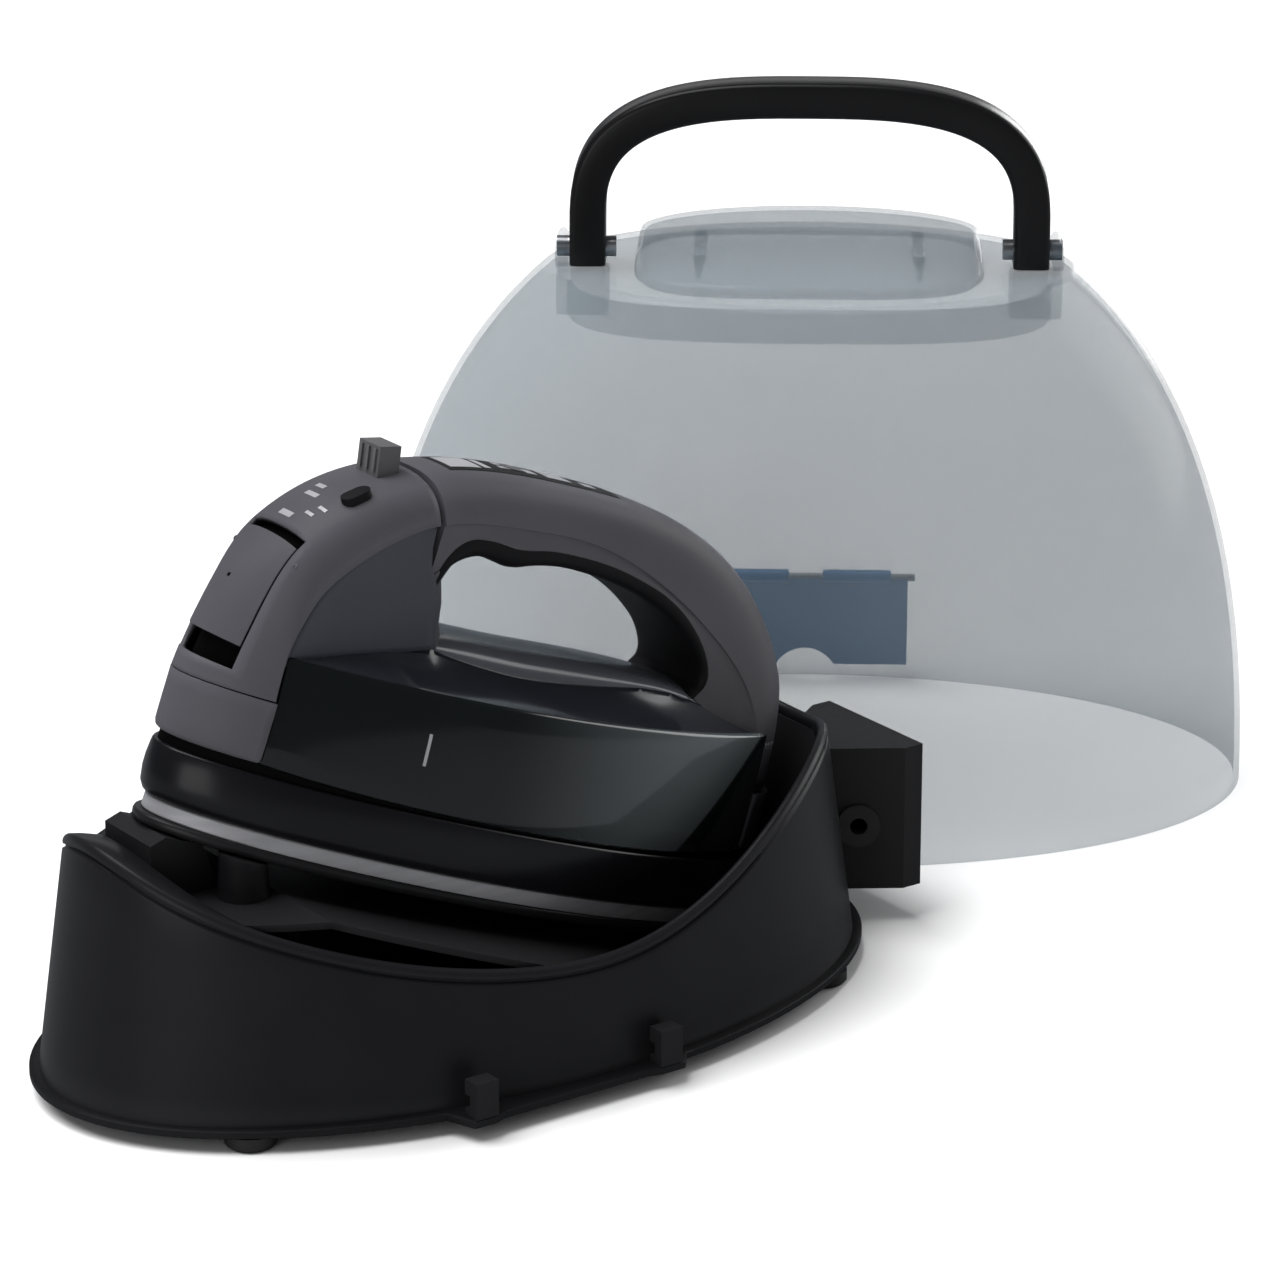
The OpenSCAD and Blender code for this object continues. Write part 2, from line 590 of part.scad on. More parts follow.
module front_spine() {
  color([0.3, 0.3, 0.32]) at_iron() difference() {
    union() {
      intersection() {
        difference() {
          across(spine_w) intersection() {
            arch_area();
            front_zone();
          }
          across(spine_w - skin) arch_area(skin);
          across(spine_w + 1) arch_area(band, band_b);
        }
        plan_prism(0, seam_z, arch_top + 10);
      }
      for (s = [-1, 1]) across(2, s * 10) intersection() {
        arch_area(1);
        translate([lever_x - 6, lever_z - 5]) square([12, 60]);
      }
      for (s = [-1, 1]) across(door_lug_t / 2, s * door_lug_y) intersection() {
        arch_area(1);
        translate([door_pin_at[0] - 4, door_pin_at[1] - 4]) square([8, 8]);
      }
    }
    across(door_w + move_gap) door_zone(door_slot, skin + 1);
    translate([-tank_x - wedge, -spine_w - 1, seam_z - 1])
      cube([80, 2 * spine_w + 2, deck_z + 0.3 - seam_z + 1]);
    translate([lever_x - 9, -7.2, lever_z]) cube([18, 14.4, 60]);
    translate([lever_x, 0, lever_z]) rotate([90, 0, 0]) cylinder(r = lever_pin_r + pin_gap, h = 60, center = true);
    translate([door_pin_at[0], 0, door_pin_at[1]]) rotate([90, 0, 0])
      cylinder(r = door_pin_r + pin_gap, h = 2 * door_lug_y + door_lug_t + 0.4, center = true);
    jet_place() translate([0, 0, -8]) capsule(5.5 + move_gap, 3.2 + move_gap, 20);
  }
}
door_pin_at = arch_pt(door_hi + 1.5, door_pin_in);
module jet_place() {
  translate([jet_x, jet_y, arch_z_at(jet_x)]) rotate([0, arch_lean(jet_x), 0]) children();
}
module side_panel(s) {
  color([0.24, 0.26, 0.3]) at_iron() across(1.2, s * (spine_w - 1.4)) intersection() {
    arch_area(band + 0.3, band_b + 0.3);
    front_zone(0.2);
    above(deck_z + 0.3);
  }
}
module side_panel_right() { side_panel(-1); }
module side_panel_left() { side_panel(1); }
module hole_area(out = 0) {
  difference() {
    translate([hole_x, hole_z]) polygon([for (q = oval_2d(hole_a + out, hole_b + out, 3))
      [q[0], q[1] * (q[0] > 0 && q[1] > 0 ? 1 - roof_drop * pow(q[0] / (hole_a + out), 2) : 1)]]);
    translate([bump_x, hole_z + hole_b + 5]) circle(r = bump_r - out);
  }
}
module panel_zone(gap, depth) {
  intersection() {
    difference() {
      arch_area(-1);
      arch_area(depth);
    }
    translate([panel_x0 - gap, arch_z]) square([panel_x1 - panel_x0 + 2 * gap, 200]);
  }
}
module handle_shell() {
  wall = skin + 0.7;
  color([0.28, 0.28, 0.31]) at_iron() difference() {
    intersection() {
      across(handle_w) difference() {
        intersection() {
          arch_area();
          rear_zone(wedge);
        }
        hole_area(lining_t + seat_gap);
        polygon([[-100, 0], [tank_x, 0], [tank_x, deck_z + 0.3], [-100, deck_z + 0.3]]);
      }
      plan_prism(0, seam_z + wedge / 2, arch_top + 10);
    }
    intersection() {
      across(handle_w - wall) difference() {
        intersection() {
          arch_area(wall);
          rear_zone(wedge + wall);
          above(deck_z + wall);
        }
        hole_area(lining_t + wall);
      }
      plan_prism(wall, deck_z, arch_top);
    }
    across(panel_w + seat_gap) panel_zone(seat_gap, panel_t + 0.1);
    translate([temp_x, 0, arch_top - 8]) cylinder(r = temp_r + 1, h = 20);
    for (s = [-1, 1]) translate([86, s * 9, deck_z]) cylinder(r = 1.5 + pin_gap, h = 9);
  }
}
module grip_lining() {
  color([0.03, 0.03, 0.035]) at_iron() across(handle_w + 0.6) difference() {
    hole_area(lining_t);
    hole_area();
  }
}
module control_panel() {
  color([0.1, 0.1, 0.12]) at_iron() difference() {
    across(panel_w) intersection() {
      panel_zone(0, panel_t);
      arch_area(0.1);
    }
    translate([temp_x, 0, arch_top - 8]) cylinder(r = temp_r + move_gap / 2, h = 20);
    for (k = [0:2]) translate([panel_x0 + 8 + 6 * k, 0,
        arch_top - 12]) cylinder(r = 1.2 + seat_gap, h = 30);
  }
}
module indicator_lenses() {
  color([0.9, 0.5, 0.2]) at_iron() for (k = [0:2]) let (x = panel_x0 + 8 + 6 * k)
    translate([x, 0, arch_z_at(x) - panel_t]) cylinder(r = 1.2, h = panel_t - 0.2);
}
module circuit_board() {
  color([0.1, 0.35, 0.18]) at_iron() translate([panel_x0 + 6, -7, arch_top - 12]) {
    cube([48, 14, 1.2]);
    translate([6, 3, 1.2]) cube([8, 8, 1]);
    translate([20, 2, 1.2]) cube([5, 4, 2]);
  }
}
module terminal_block() {
  color([0.82, 0.78, 0.68]) at_iron() difference() {
    translate([block_x, -16.5, 7]) cube([27, 33, 13.5]);
    for (y = blade_y) translate([tank_x - 1, y - blade_t / 2 - 0.05, blade_z[0] - 0.05])
      cube([30, blade_t + 0.1, blade_z[1] - blade_z[0] + 0.1]);
  }
}
module terminal_blades() {
  color([0.8, 0.7, 0.45]) at_iron() for (y = blade_y)
    translate([tank_x, y - blade_t / 2, blade_z[0]])
      cube([dock_x + 7 - tank_x, blade_t, blade_z[1] - blade_z[0]]);
}
module lever_pin() {
  color([0.75, 0.75, 0.76]) at_iron() translate([lever_x, 0, lever_z]) rotate([90, 0, 0])
    cylinder(r = lever_pin_r, h = 24, center = true);
}
module door_pin() {
  color([0.75, 0.75, 0.76]) at_iron() translate([door_pin_at[0], 0, door_pin_at[1]]) rotate([90, 0, 0])
    cylinder(r = door_pin_r, h = 2 * door_lug_y + door_lug_t - 0.4, center = true);
}
module iron_screws() {
  color([0.7, 0.7, 0.72]) at_iron() for (s = [-1, 1]) translate([86, s * 9, deck_z - deck_t - 1.2]) {
    cylinder(r = 3, h = 1.1);
    cylinder(r = 1.5, h = 12);
  }
}
// ---- iron: moving pieces ----
module filler_door() {
  color([0.29, 0.29, 0.31]) at_iron() difference() {
    union() {
      intersection() {
        across(door_w) difference() {
          door_zone(0, 2.2);
          polygon(concat(arch_line(door_hi - 6, door_lo + 6, -6, 0, 16), arch_line(door_lo + 6,
              door_hi - 6, 0.05, 0, 16)));
        }
        plan_prism(0, seam_z, arch_top);
      }
      for (s = [-1, 1]) across(1.5, s * 8) union() {
        translate(door_pin_at) circle(r = door_pin_r + 1.8);
        intersection() {
          door_zone(-1.5, door_pin_in);
          translate([door_pin_at[0] - 7, door_pin_at[1] - 3]) square([8.5, 8]);
          arch_area(0.3);
        }
      }
    }
    translate([door_pin_at[0], 0, door_pin_at[1]]) rotate([90, 0, 0])
      cylinder(r = door_pin_r + pin_gap, h = 60, center = true);
  }
}
lever_stem = arch_top - lever_z - 10;
lever_grip = 13;
lever_rake = 12;
module steam_lever() {
  color([0.33, 0.33, 0.35]) at_iron() translate([lever_x, 0, lever_z]) difference() {
    union() {
      rotate([90, 0, 0]) cylinder(r = hub_r, h = 12, center = true);
      translate([-4, -5.5, 0]) cube([8, 11, lever_stem]);
      rotate([0, -lever_rake, 0]) translate([-4, -6.5, lever_stem - 4]) cube([8.5, 13, lever_grip]);
      for (k = [-1:1]) rotate([0, -lever_rake, 0]) translate([-4.8, k * 4.2 - 0.7,
          lever_stem]) cube([10, 1.4, 8]);
    }
    rotate([90, 0, 0]) cylinder(r = lever_pin_r + pin_gap, h = 60, center = true);
  }
}
rod_top = lever_z - hub_r - 3;
rod_bottom = block_top + 4.5;
module steam_valve_rod() {
  color([0.75, 0.75, 0.76]) at_iron() translate([lever_x, 0, rod_bottom]) {
    cylinder(r = rod_r, h = rod_top - rod_bottom);
    translate([0, 0, rod_top - rod_bottom - 1.5]) cylinder(r = 3, h = 1.5);
  }
}
module jet_button() {
  color([0.02, 0.02, 0.02]) at_iron() jet_place() {
    translate([0, 0, -5]) capsule(5.5, 3.2, 5.6);
  }
}
module temperature_button() {
  color([0.3, 0.3, 0.32]) at_iron() translate([temp_x, 0,
      arch_z_at(temp_x) - 5.2]) cylinder(r = temp_r, h = 5.6);
}

// ---- carrying cover ----
function dome_k(z) = pow(max(0, 1 - pow(z / dome_h, e_dome)), 1 / e_dome);
function dome_ring(z, in = 0) = oval_ring(cover_l / 2 * dome_k(z) - in,
    cover_w / 2 * dome_k(z) - in, e_base, z, 64);
dome_zs = [for (k = [0:9]) dome_flat * sin(90 * k / 9)];
bail_t = 13;                // section of the carry handle
pivot_z = dome_flat + bail_t / 2 + 0.9;
module cover_shell() {
  inner = [for (k = [9:-1:0]) dome_ring(min(dome_zs[k], dome_flat - cover_t), cover_t)];
  outer = [for (z = dome_zs) dome_ring(z)];
  color([0.55, 0.62, 0.7, 0.4]) at_cover() difference() {
    loft(concat(inner, outer));
    translate([-latch_w / 2 - move_gap, cover_w / 2 - 30, 6]) cube([latch_w + 2 * move_gap, 60,
        latch_h + 2 * move_gap + 4]);
    translate([0, cover_w / 2 - 30, 0]) rotate([-90, 0, 0]) cylinder(r = 13, h = 60);
  }
}
cap_a = 66;
cap_b = 44;
module cover_cap() {
  color([0.5, 0.56, 0.64, 0.4]) at_cover() difference() {
    loft([oval_ring(cap_a, cap_b, 3, dome_flat + 0.1), oval_ring(cap_a - 1, cap_b - 2, 3,
        dome_flat + cap_h - 4),
      oval_ring(cap_a - 4, cap_b - 8, 3, dome_flat + cap_h)]);
    loft([oval_ring(cap_a - 2, cap_b - 2, 3, dome_flat - 1), oval_ring(cap_a - 3, cap_b - 4, 3,
        dome_flat + cap_h - 5),
      oval_ring(cap_a - 5, cap_b - 10, 3, dome_flat + cap_h - 2)]);
  }
}
cheek_t = 4.5;
module handle_sockets() {
  color([0.45, 0.5, 0.58, 0.6]) at_cover() for (s = [-1, 1]) mirror([s < 0 ? 1 : 0, 0, 0]) difference() {
    union() {
      translate([bail_w + move_gap, -8, dome_flat + 0.1]) cube([cheek_t, 16, bail_t]);
      translate([bail_w - bail_t - move_gap - cheek_t, -8, dome_flat + 0.1]) cube([cheek_t, 16, bail_t]);
    }
    translate([0, 0, pivot_z]) rotate([0, 90, 0]) cylinder(r = bail_pin_r + pin_gap, h = 2 * bail_w + 30);
  }
}
module bail_outline(in) {
  a = bail_w - in;
  h = bail_h - in;
  polygon(concat([[-a, 0]], [for (k = [0:10]) [-a + 26 * (1 - cos(9 * k)), h - 34 + 34 * sin(9 * k)]],
    [for (k = [10:-1:0]) [a - 26 * (1 - cos(9 * k)), h - 34 + 34 * sin(9 * k)]], [[a, 0]]));
}
module carry_handle() {
  color([0.04, 0.04, 0.045]) at_cover() translate([0, 0, pivot_z]) difference() {
    union() {
      across(bail_t / 2) difference() {
        bail_outline(0);
        translate([0, -0.1]) bail_outline(bail_t);
      }
      for (s = [-1, 1]) translate([s * (bail_w - bail_t / 2), 0, 0]) rotate([0, 90, 0])
        cylinder(r = bail_t / 2, h = bail_t, center = true);
    }
    rotate([0, 90, 0]) cylinder(r = bail_pin_r + pin_gap, h = 400, center = true);
  }
}
module handle_pivots() {
  color([0.6, 0.6, 0.62]) at_cover() for (s = [-1, 1]) translate([s * (bail_w - bail_t), 0, pivot_z])
    rotate([0, s * 90, 0]) translate([0, 0, -move_gap - cheek_t])
      cylinder(r = bail_pin_r, h = bail_t + 2 * (move_gap + cheek_t));
}
latch_y = cover_w / 2 - 5.5;
latch_top = 6 + latch_h;
module cover_latch() {
  color([0.3, 0.4, 0.52, 0.8]) at_cover() difference() {
    union() {
      translate([-latch_w / 2, latch_y - 1.5, 6 + move_gap]) cube([latch_w, 3, latch_h - move_gap]);
      for (s = [-1, 1]) translate([s * latch_w / 4, latch_y, latch_top]) rotate([0, 90, 0])
        cylinder(r = 3, h = latch_w / 3, center = true);
    }
    translate([0, latch_y, latch_top]) rotate([0, 90, 0]) cylinder(r = 1.5 + pin_gap, h = 200,
        center = true);
    translate([0, latch_y - 10, 0]) rotate([-90, 0, 0]) cylinder(r = 13 + move_gap, h = 20);
  }
}
module latch_pin() {
  color([0.75, 0.75, 0.76]) at_cover() translate([0, latch_y, latch_top]) rotate([0, 90, 0])
    cylinder(r = 1.5, h = latch_w + 6, center = true);
}

bottom_plate();
base_shell();
cradle_tray();
nose_rest();
rest_posts();
contact_housing();
contact_block();
contact_clips();
supply_leads();
latch_posts();
base_feet();
base_screws();
cord_box();
cord_box_lid();
cord_grommet();
soleplate();
sole_trim();
heater_block();
heating_element();
steam_chamber_lid();
thermostat();
skirt();
heat_shield();
tank_shell();
tank_deck();
filler_neck();
valve_guide();
nose_cover();
tail_cover();
front_spine();
side_panel_right();
side_panel_left();
handle_shell();
grip_lining();
control_panel();
indicator_lenses();
circuit_board();
terminal_block();
terminal_blades();
lever_pin();
door_pin();
iron_screws();
filler_door();
steam_lever();
steam_valve_rod();
jet_button();
temperature_button();
cover_shell();
cover_cap();
handle_sockets();
latch_pin();
carry_handle();
handle_pivots();
cover_latch();
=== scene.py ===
# Looks of the cordless iron, its heating base and its carrying cover.
import json
import math
import bmesh
import bpy
import numpy as np
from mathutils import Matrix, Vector


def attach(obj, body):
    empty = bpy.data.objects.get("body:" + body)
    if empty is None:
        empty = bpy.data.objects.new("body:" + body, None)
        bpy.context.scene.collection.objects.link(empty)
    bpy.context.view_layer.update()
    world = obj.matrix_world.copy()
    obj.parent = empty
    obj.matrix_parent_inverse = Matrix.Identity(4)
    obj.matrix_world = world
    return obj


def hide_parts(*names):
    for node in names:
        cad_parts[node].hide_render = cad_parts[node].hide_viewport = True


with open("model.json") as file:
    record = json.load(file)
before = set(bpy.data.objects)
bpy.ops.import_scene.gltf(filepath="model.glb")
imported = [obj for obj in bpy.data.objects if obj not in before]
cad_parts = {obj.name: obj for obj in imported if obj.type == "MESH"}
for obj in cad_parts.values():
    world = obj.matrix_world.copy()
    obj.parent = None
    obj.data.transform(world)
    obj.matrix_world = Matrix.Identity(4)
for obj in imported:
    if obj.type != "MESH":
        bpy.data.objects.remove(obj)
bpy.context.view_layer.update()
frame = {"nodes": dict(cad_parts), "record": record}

nodes = frame["nodes"]

# ---------------------------------------------------------------- frames (mm in, metres out)
SHIFT = np.array([116.4165, 79.3449, 0.0])
TILT, TURN = math.radians(21), math.radians(37.4)   # of the iron, and of the cover
IRON_AT = (-7.1, 57.3)                              # x and z of the iron's sole trim
COVER_AT = (246, 122)                               # x and y of the cover's centre


def base(p):
    return (np.asarray(p, float) - SHIFT) / 1000


def iron(p):
    p = np.asarray(p, float)
    x, y, z = p[..., 0], p[..., 1], p[..., 2]
    c, s = math.cos(TILT), math.sin(TILT)
    return base(np.stack([IRON_AT[0] + x * c + z * s, y, IRON_AT[1] - x * s + z * c], -1))


def cover(p):
    p = np.asarray(p, float)
    x, y, z = p[..., 0], p[..., 1], p[..., 2]
    c, s = math.cos(TURN), math.sin(TURN)
    return base(np.stack([COVER_AT[0] + x * c + y * s, COVER_AT[1] - x * s + y * c, z], -1))


# ---------------------------------------------------------------- materials
def plastic(name, rgb, rough=0.5, spec=0.5, grain=900, bump=0.1, vary=0.12, metal=0.0, coat=0.0,
            coat_rough=0.1, alpha=1.0, edge_lift=0.0, mottle=30, brushed=None, shadow=0.0):
    m = bpy.data.materials.new(name)
    m.use_nodes = True
    nt = m.node_tree
    b = nt.nodes["Principled BSDF"]
    link = nt.links.new
    b.inputs["Specular IOR Level"].default_value = spec
    b.inputs["Metallic"].default_value = metal
    b.inputs["Coat Weight"].default_value = coat
    b.inputs["Coat Roughness"].default_value = coat_rough
    b.inputs["IOR"].default_value = 1.45
    b.inputs["Alpha"].default_value = alpha
    tc = nt.nodes.new("ShaderNodeTexCoord")
    mp = nt.nodes.new("ShaderNodeMapping")
    link(tc.outputs["Object"], mp.inputs["Vector"])
    if brushed:
        mp.inputs["Scale"].default_value = brushed
    big = nt.nodes.new("ShaderNodeTexNoise")
    big.inputs["Scale"].default_value = mottle
    big.inputs["Detail"].default_value = 3
    link(mp.outputs["Vector"], big.inputs["Vector"])
    fine = nt.nodes.new("ShaderNodeTexNoise")
    fine.inputs["Scale"].default_value = grain
    fine.inputs["Detail"].default_value = 2
    link(mp.outputs["Vector"], fine.inputs["Vector"])
    col = nt.nodes.new("ShaderNodeValToRGB")
    col.color_ramp.elements[0].position = 0.3
    col.color_ramp.elements[1].position = 0.7
    col.color_ramp.elements[0].color = [c * (1 - vary) for c in rgb] + [1]
    col.color_ramp.elements[1].color = [min(1, c * (1 + vary)) for c in rgb] + [1]
    link(big.outputs["Fac"], col.inputs["Fac"])
    out = col.outputs["Color"]
    # sharp convex edges are drawn lighter, found by pointiness
    if edge_lift:
        geo = nt.nodes.new("ShaderNodeNewGeometry")
        edge = nt.nodes.new("ShaderNodeMapRange")
        edge.inputs["From Min"].default_value = 0.52
        edge.inputs["From Max"].default_value = 0.62
        edge.inputs["To Max"].default_value = edge_lift
        link(geo.outputs["Pointiness"], edge.inputs["Value"])
        mix = nt.nodes.new("ShaderNodeMixRGB")
        mix.inputs["Color2"].default_value = [min(1, c * 2.2 + 0.03) for c in rgb] + [1]
        link(edge.outputs["Result"], mix.inputs["Fac"])
        link(out, mix.inputs["Color1"])
        out = mix.outputs["Color"]
    link(out, b.inputs["Base Color"])
    r = nt.nodes.new("ShaderNodeMapRange")
    r.inputs["To Min"].default_value = max(0.02, rough * 0.85)
    r.inputs["To Max"].default_value = min(1, rough * 1.15)
    link(fine.outputs["Fac"], r.inputs["Value"])
    link(r.outputs["Result"], b.inputs["Roughness"])
    if shadow:
        # thin smoke plastic lets most of the light through to the floor
        lp = nt.nodes.new("ShaderNodeLightPath")
        al = nt.nodes.new("ShaderNodeMapRange")
        al.inputs["To Min"].default_value = alpha
        al.inputs["To Max"].default_value = shadow
        link(lp.outputs["Is Shadow Ray"], al.inputs["Value"])
        link(al.outputs["Result"], b.inputs["Alpha"])
    if bump:
        bp = nt.nodes.new("ShaderNodeBump")
        bp.inputs["Strength"].default_value = bump
        bp.inputs["Distance"].default_value = 0.0002
        link(fine.outputs["Fac"], bp.inputs["Height"])
        link(bp.outputs["Normal"], b.inputs["Normal"])
    return m


M = {
    "base_black": plastic("base_satin", (0.0085, 0.0085, 0.0098), 0.36, 0.3, 1400, 0.06, edge_lift=0.25),
    "base_dark": plastic("base_matt", (0.006, 0.006, 0.007), 0.5, 0.22, 1200, 0.12, edge_lift=0.2),
    "rubber": plastic("rubber", (0.02, 0.02, 0.02), 0.75, 0.3, 1500, 0.25),
    "steel": plastic("steel", (0.55, 0.56, 0.58), 0.3, 0.5, 800, 0.06, metal=1.0),
    "alloy": plastic("cast_alloy", (0.55, 0.56, 0.57), 0.5, 0.5, 600, 0.3, metal=1.0),
    "brass": plastic("brass", (0.68, 0.5, 0.22), 0.3, 0.5, 600, 0.05, metal=1.0),
    "ceramic": plastic("ceramic", (0.62, 0.57, 0.45), 0.6, 0.4, 700, 0.2),
    "wire": plastic("glass_sleeve", (0.55, 0.51, 0.44), 0.8, 0.3, 2200, 0.5),
    "sole_dark": plastic("sole_coating", (0.012, 0.012, 0.013), 0.35, 0.4, 2000, 0.05),
    "trim_silver": plastic("trim_silver", (0.42, 0.42, 0.44), 0.5, 0.5, 260, 0.04, 0.1, metal=0.5,
                           brushed=(1, 1, 14)),
    "skirt_gloss": plastic("skirt_gloss", (0.005, 0.005, 0.0065), 0.3, 0.4, 90, 0.0, coat=0.15,
                           coat_rough=0.2),
    "tank_smoke": plastic("tank_smoke", (0.0045, 0.006, 0.0065), 0.1, 0.5, 300, 0.0, coat=0.5, alpha=0.97),
    "deck_blue": plastic("deck_gloss", (0.016, 0.018, 0.023), 0.16, 0.5, 500, 0.01, coat=0.3),
    "spine_grey": plastic("spine_grey", (0.068, 0.067, 0.077), 0.5, 0.35, 2200, 0.3, 0.05, edge_lift=0.12),
    # panel_grey is the spine's grey drawn darker and bluer: painted shade on the side panels
    "panel_grey": plastic("panel_grey", (0.043, 0.047, 0.06), 0.5, 0.35, 2200, 0.25, 0.05),
    "grip_black": plastic("grip_black", (0.006, 0.006, 0.007), 0.55, 0.25, 2400, 0.35),
    "lever_grey": plastic("lever_grey", (0.075, 0.074, 0.078), 0.5, 0.4, 1500, 0.15, edge_lift=0.2),
    "lens": plastic("lens", (0.8, 0.45, 0.12), 0.1, 0.5, 500, 0.0, alpha=0.6),
    "board": plastic("board", (0.02, 0.16, 0.06), 0.4, 0.5, 700, 0.1),
    "valve_white": plastic("acetal", (0.75, 0.75, 0.72), 0.4, 0.4, 600, 0.05),
    "smoke_cover": plastic("smoke_cover", (0.18, 0.222, 0.25), 0.2, 0.3, 220, 0.01, 0.03, alpha=0.34,
                           mottle=6,
                           shadow=0.09),
    "latch_blue": plastic("latch_blue", (0.03, 0.1, 0.22), 0.22, 0.4, 300, 0.02, 0.06, alpha=0.8),
    "handle_black": plastic("handle_black", (0.006, 0.006, 0.0065), 0.3, 0.35, 1400, 0.03, edge_lift=0.15),
}
MARK = plastic("mark_silver", (0.42, 0.42, 0.44), 0.35, 0.5, 900, 0.05, metal=0.3)
SEAM = plastic("seam_black", (0.002, 0.002, 0.002), 0.8, 0.1, 900, 0.1)
SMOKE2 = plastic("smoke_thick", (0.1, 0.14, 0.17), 0.2, 0.4, 220, 0.01, 0.04, alpha=0.25, mottle=8,
                 shadow=0.1)
SILL = plastic("sill_blue", (0.09, 0.096, 0.11), 0.22, 0.5, 600, 0.02, 0.05, coat=0.3)

# the tank's colour: a painted highlight, lighter towards the heel, and black beyond a slanting edge that
# stands for a painted reflection of the base wall; the shape of both is a guess
tnt = M["tank_smoke"].node_tree
tnt.links.remove(tnt.nodes["Principled BSDF"].inputs["Base Color"].links[0])
tramp = next(n for n in tnt.nodes if n.type == "VALTORGB")
o_iron, ax, az = iron((0, 0, 0)), iron((1000, 0, 0)) - iron((0, 0, 0)), iron((0, 0, 1000)) - iron((0, 0, 0))
tco = tnt.nodes.new("ShaderNodeTexCoord")


def along(axis, lo, hi):
    """0..1 between two distances (metres) along a direction of the iron."""
    dot = tnt.nodes.new("ShaderNodeVectorMath")
    dot.operation = "DOT_PRODUCT"
    tnt.links.new(tco.outputs["Object"], dot.inputs[0])
    dot.inputs[1].default_value = axis
    mr = tnt.nodes.new("ShaderNodeMapRange")
    mr.interpolation_type = "SMOOTHSTEP"
    k0 = float(np.dot(axis, o_iron))
    mr.inputs["From Min"].default_value = k0 + lo
    mr.inputs["From Max"].default_value = k0 + hi
    tnt.links.new(dot.outputs["Value"], mr.inputs["Value"])
    return mr


# masks of the painted highlight: rising towards the heel, cut off at the slanting edge of the painted
# reflection
near = along(ax, -0.03, 0.085)
past = along(ax - 0.84 * az, 0.0415, 0.0445)
past.inputs["To Min"].default_value = 1
past.inputs["To Max"].default_value = 0
both = tnt.nodes.new("ShaderNodeMath")
both.operation = "MULTIPLY"
tnt.links.new(near.outputs["Result"], both.inputs[0])
tnt.links.new(past.outputs["Result"], both.inputs[1])
# colour of the painted highlight on the tank
painted_highlight_mix = tnt.nodes.new("ShaderNodeMixRGB")
painted_highlight_mix.inputs["Color2"].default_value = (0.085, 0.097, 0.102, 1)
tnt.links.new(both.outputs["Value"], painted_highlight_mix.inputs["Fac"])
tnt.links.new(tramp.outputs["Color"], painted_highlight_mix.inputs["Color1"])
tnt.links.new(painted_highlight_mix.outputs["Color"], tnt.nodes["Principled BSDF"].inputs["Base Color"])

slot_of = {s["node"]: s["material_slot"] for s in frame["record"]["subparts"]}
for n, o in nodes.items():
    o.data.materials.clear()
    o.data.materials.append(M[slot_of[n]])


for n, w in (("steam_lever", 0.5), ("cord_box", 2.2), ("cord_box_lid", 0.5), ("latch_posts", 0.7),
             ("base_feet", 0.6),
             ("nose_rest", 1.5), ("rest_posts", 1.6), ("jet_button", 0.8), ("temperature_button", 0.5),
             ("cover_latch", 0.6), ("contact_housing", 1.5), ("cord_grommet", 0.5), ("handle_pivots", 0.5)):
    md = nodes[n].modifiers.new("edge", "BEVEL")
    md.width, md.segments, md.limit_method, md.angle_limit = w / 1000, 3, "ANGLE", math.radians(35)
    md.harden_normals = True


# ---------------------------------------------------------------- mesh tools
def piece(name, verts, faces, mat, body, reps=(), bevel=0.0, angle=35, thick=0.0):
    me = bpy.data.meshes.new(name)
    me.from_pydata([tuple(v) for v in verts], [], [tuple(f) for f in faces])
    bm = bmesh.new()
    bm.from_mesh(me)
    bmesh.ops.remove_doubles(bm, verts=bm.verts, dist=1e-6)
    bmesh.ops.recalc_face_normals(bm, faces=bm.faces)
    for f in bm.faces:
        f.smooth = True
    bm.to_mesh(me)
    bm.free()
    me.set_sharp_from_angle(angle=math.radians(angle))
    o = bpy.data.objects.new(name, me)
    bpy.context.scene.collection.objects.link(o)
    me.materials.append(mat)
    if thick:
        md = o.modifiers.new("wall", "SOLIDIFY")
        md.thickness = thick / 1000
        md.offset = -1
    if bevel:
        md = o.modifiers.new("edge", "BEVEL")
        md.width = bevel / 1000
        md.segments = 3
        md.limit_method = "ANGLE"
        md.angle_limit = math.radians(angle)
        md.harden_normals = True
    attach(o, body)
    if reps:
        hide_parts(*reps)
    return o


def sheet_faces(nu, nv, cu=False, cv=False):
    f = []
    for i in range(nu if cu else nu - 1):
        for j in range(nv if cv else nv - 1):
            a, b = i, (i + 1) % nu
            c, d = j, (j + 1) % nv
            f.append((a * nv + c, b * nv + c, b * nv + d, a * nv + d))
    return f


def loft(rings, caps=True, closed=False):
    """Rings (k, n, 3) of closed loops, stacked. Returns verts, faces."""
    r = np.asarray(rings, float)
    k, n = r.shape[:2]
    f = sheet_faces(k, n, closed, True)
    if caps and not closed:
        f += [tuple(range(n))[::-1], tuple((k - 1) * n + i for i in range(n))]
    return r.reshape(-1, 3), f


def prism(outline, y0, y1):
    """Outline of (x, z), extruded across y."""
    o = np.asarray(outline, float)
    a = np.stack([o[:, 0], np.full(len(o), y0), o[:, 1]], -1)
    b = np.stack([o[:, 0], np.full(len(o), y1), o[:, 1]], -1)
    return loft([a, b])


def spow(v, p):
    return np.sign(v) * np.abs(v) ** p


def oval(a, b, e, z, n=160, cx=0.0, cy=0.0):
    t = np.linspace(0, 2 * math.pi, n, endpoint=False)
    return np.stack([cx + a * spow(np.cos(t), 2 / e), cy + b * spow(np.sin(t), 2 / e), np.full(n,
        float(z))], -1)


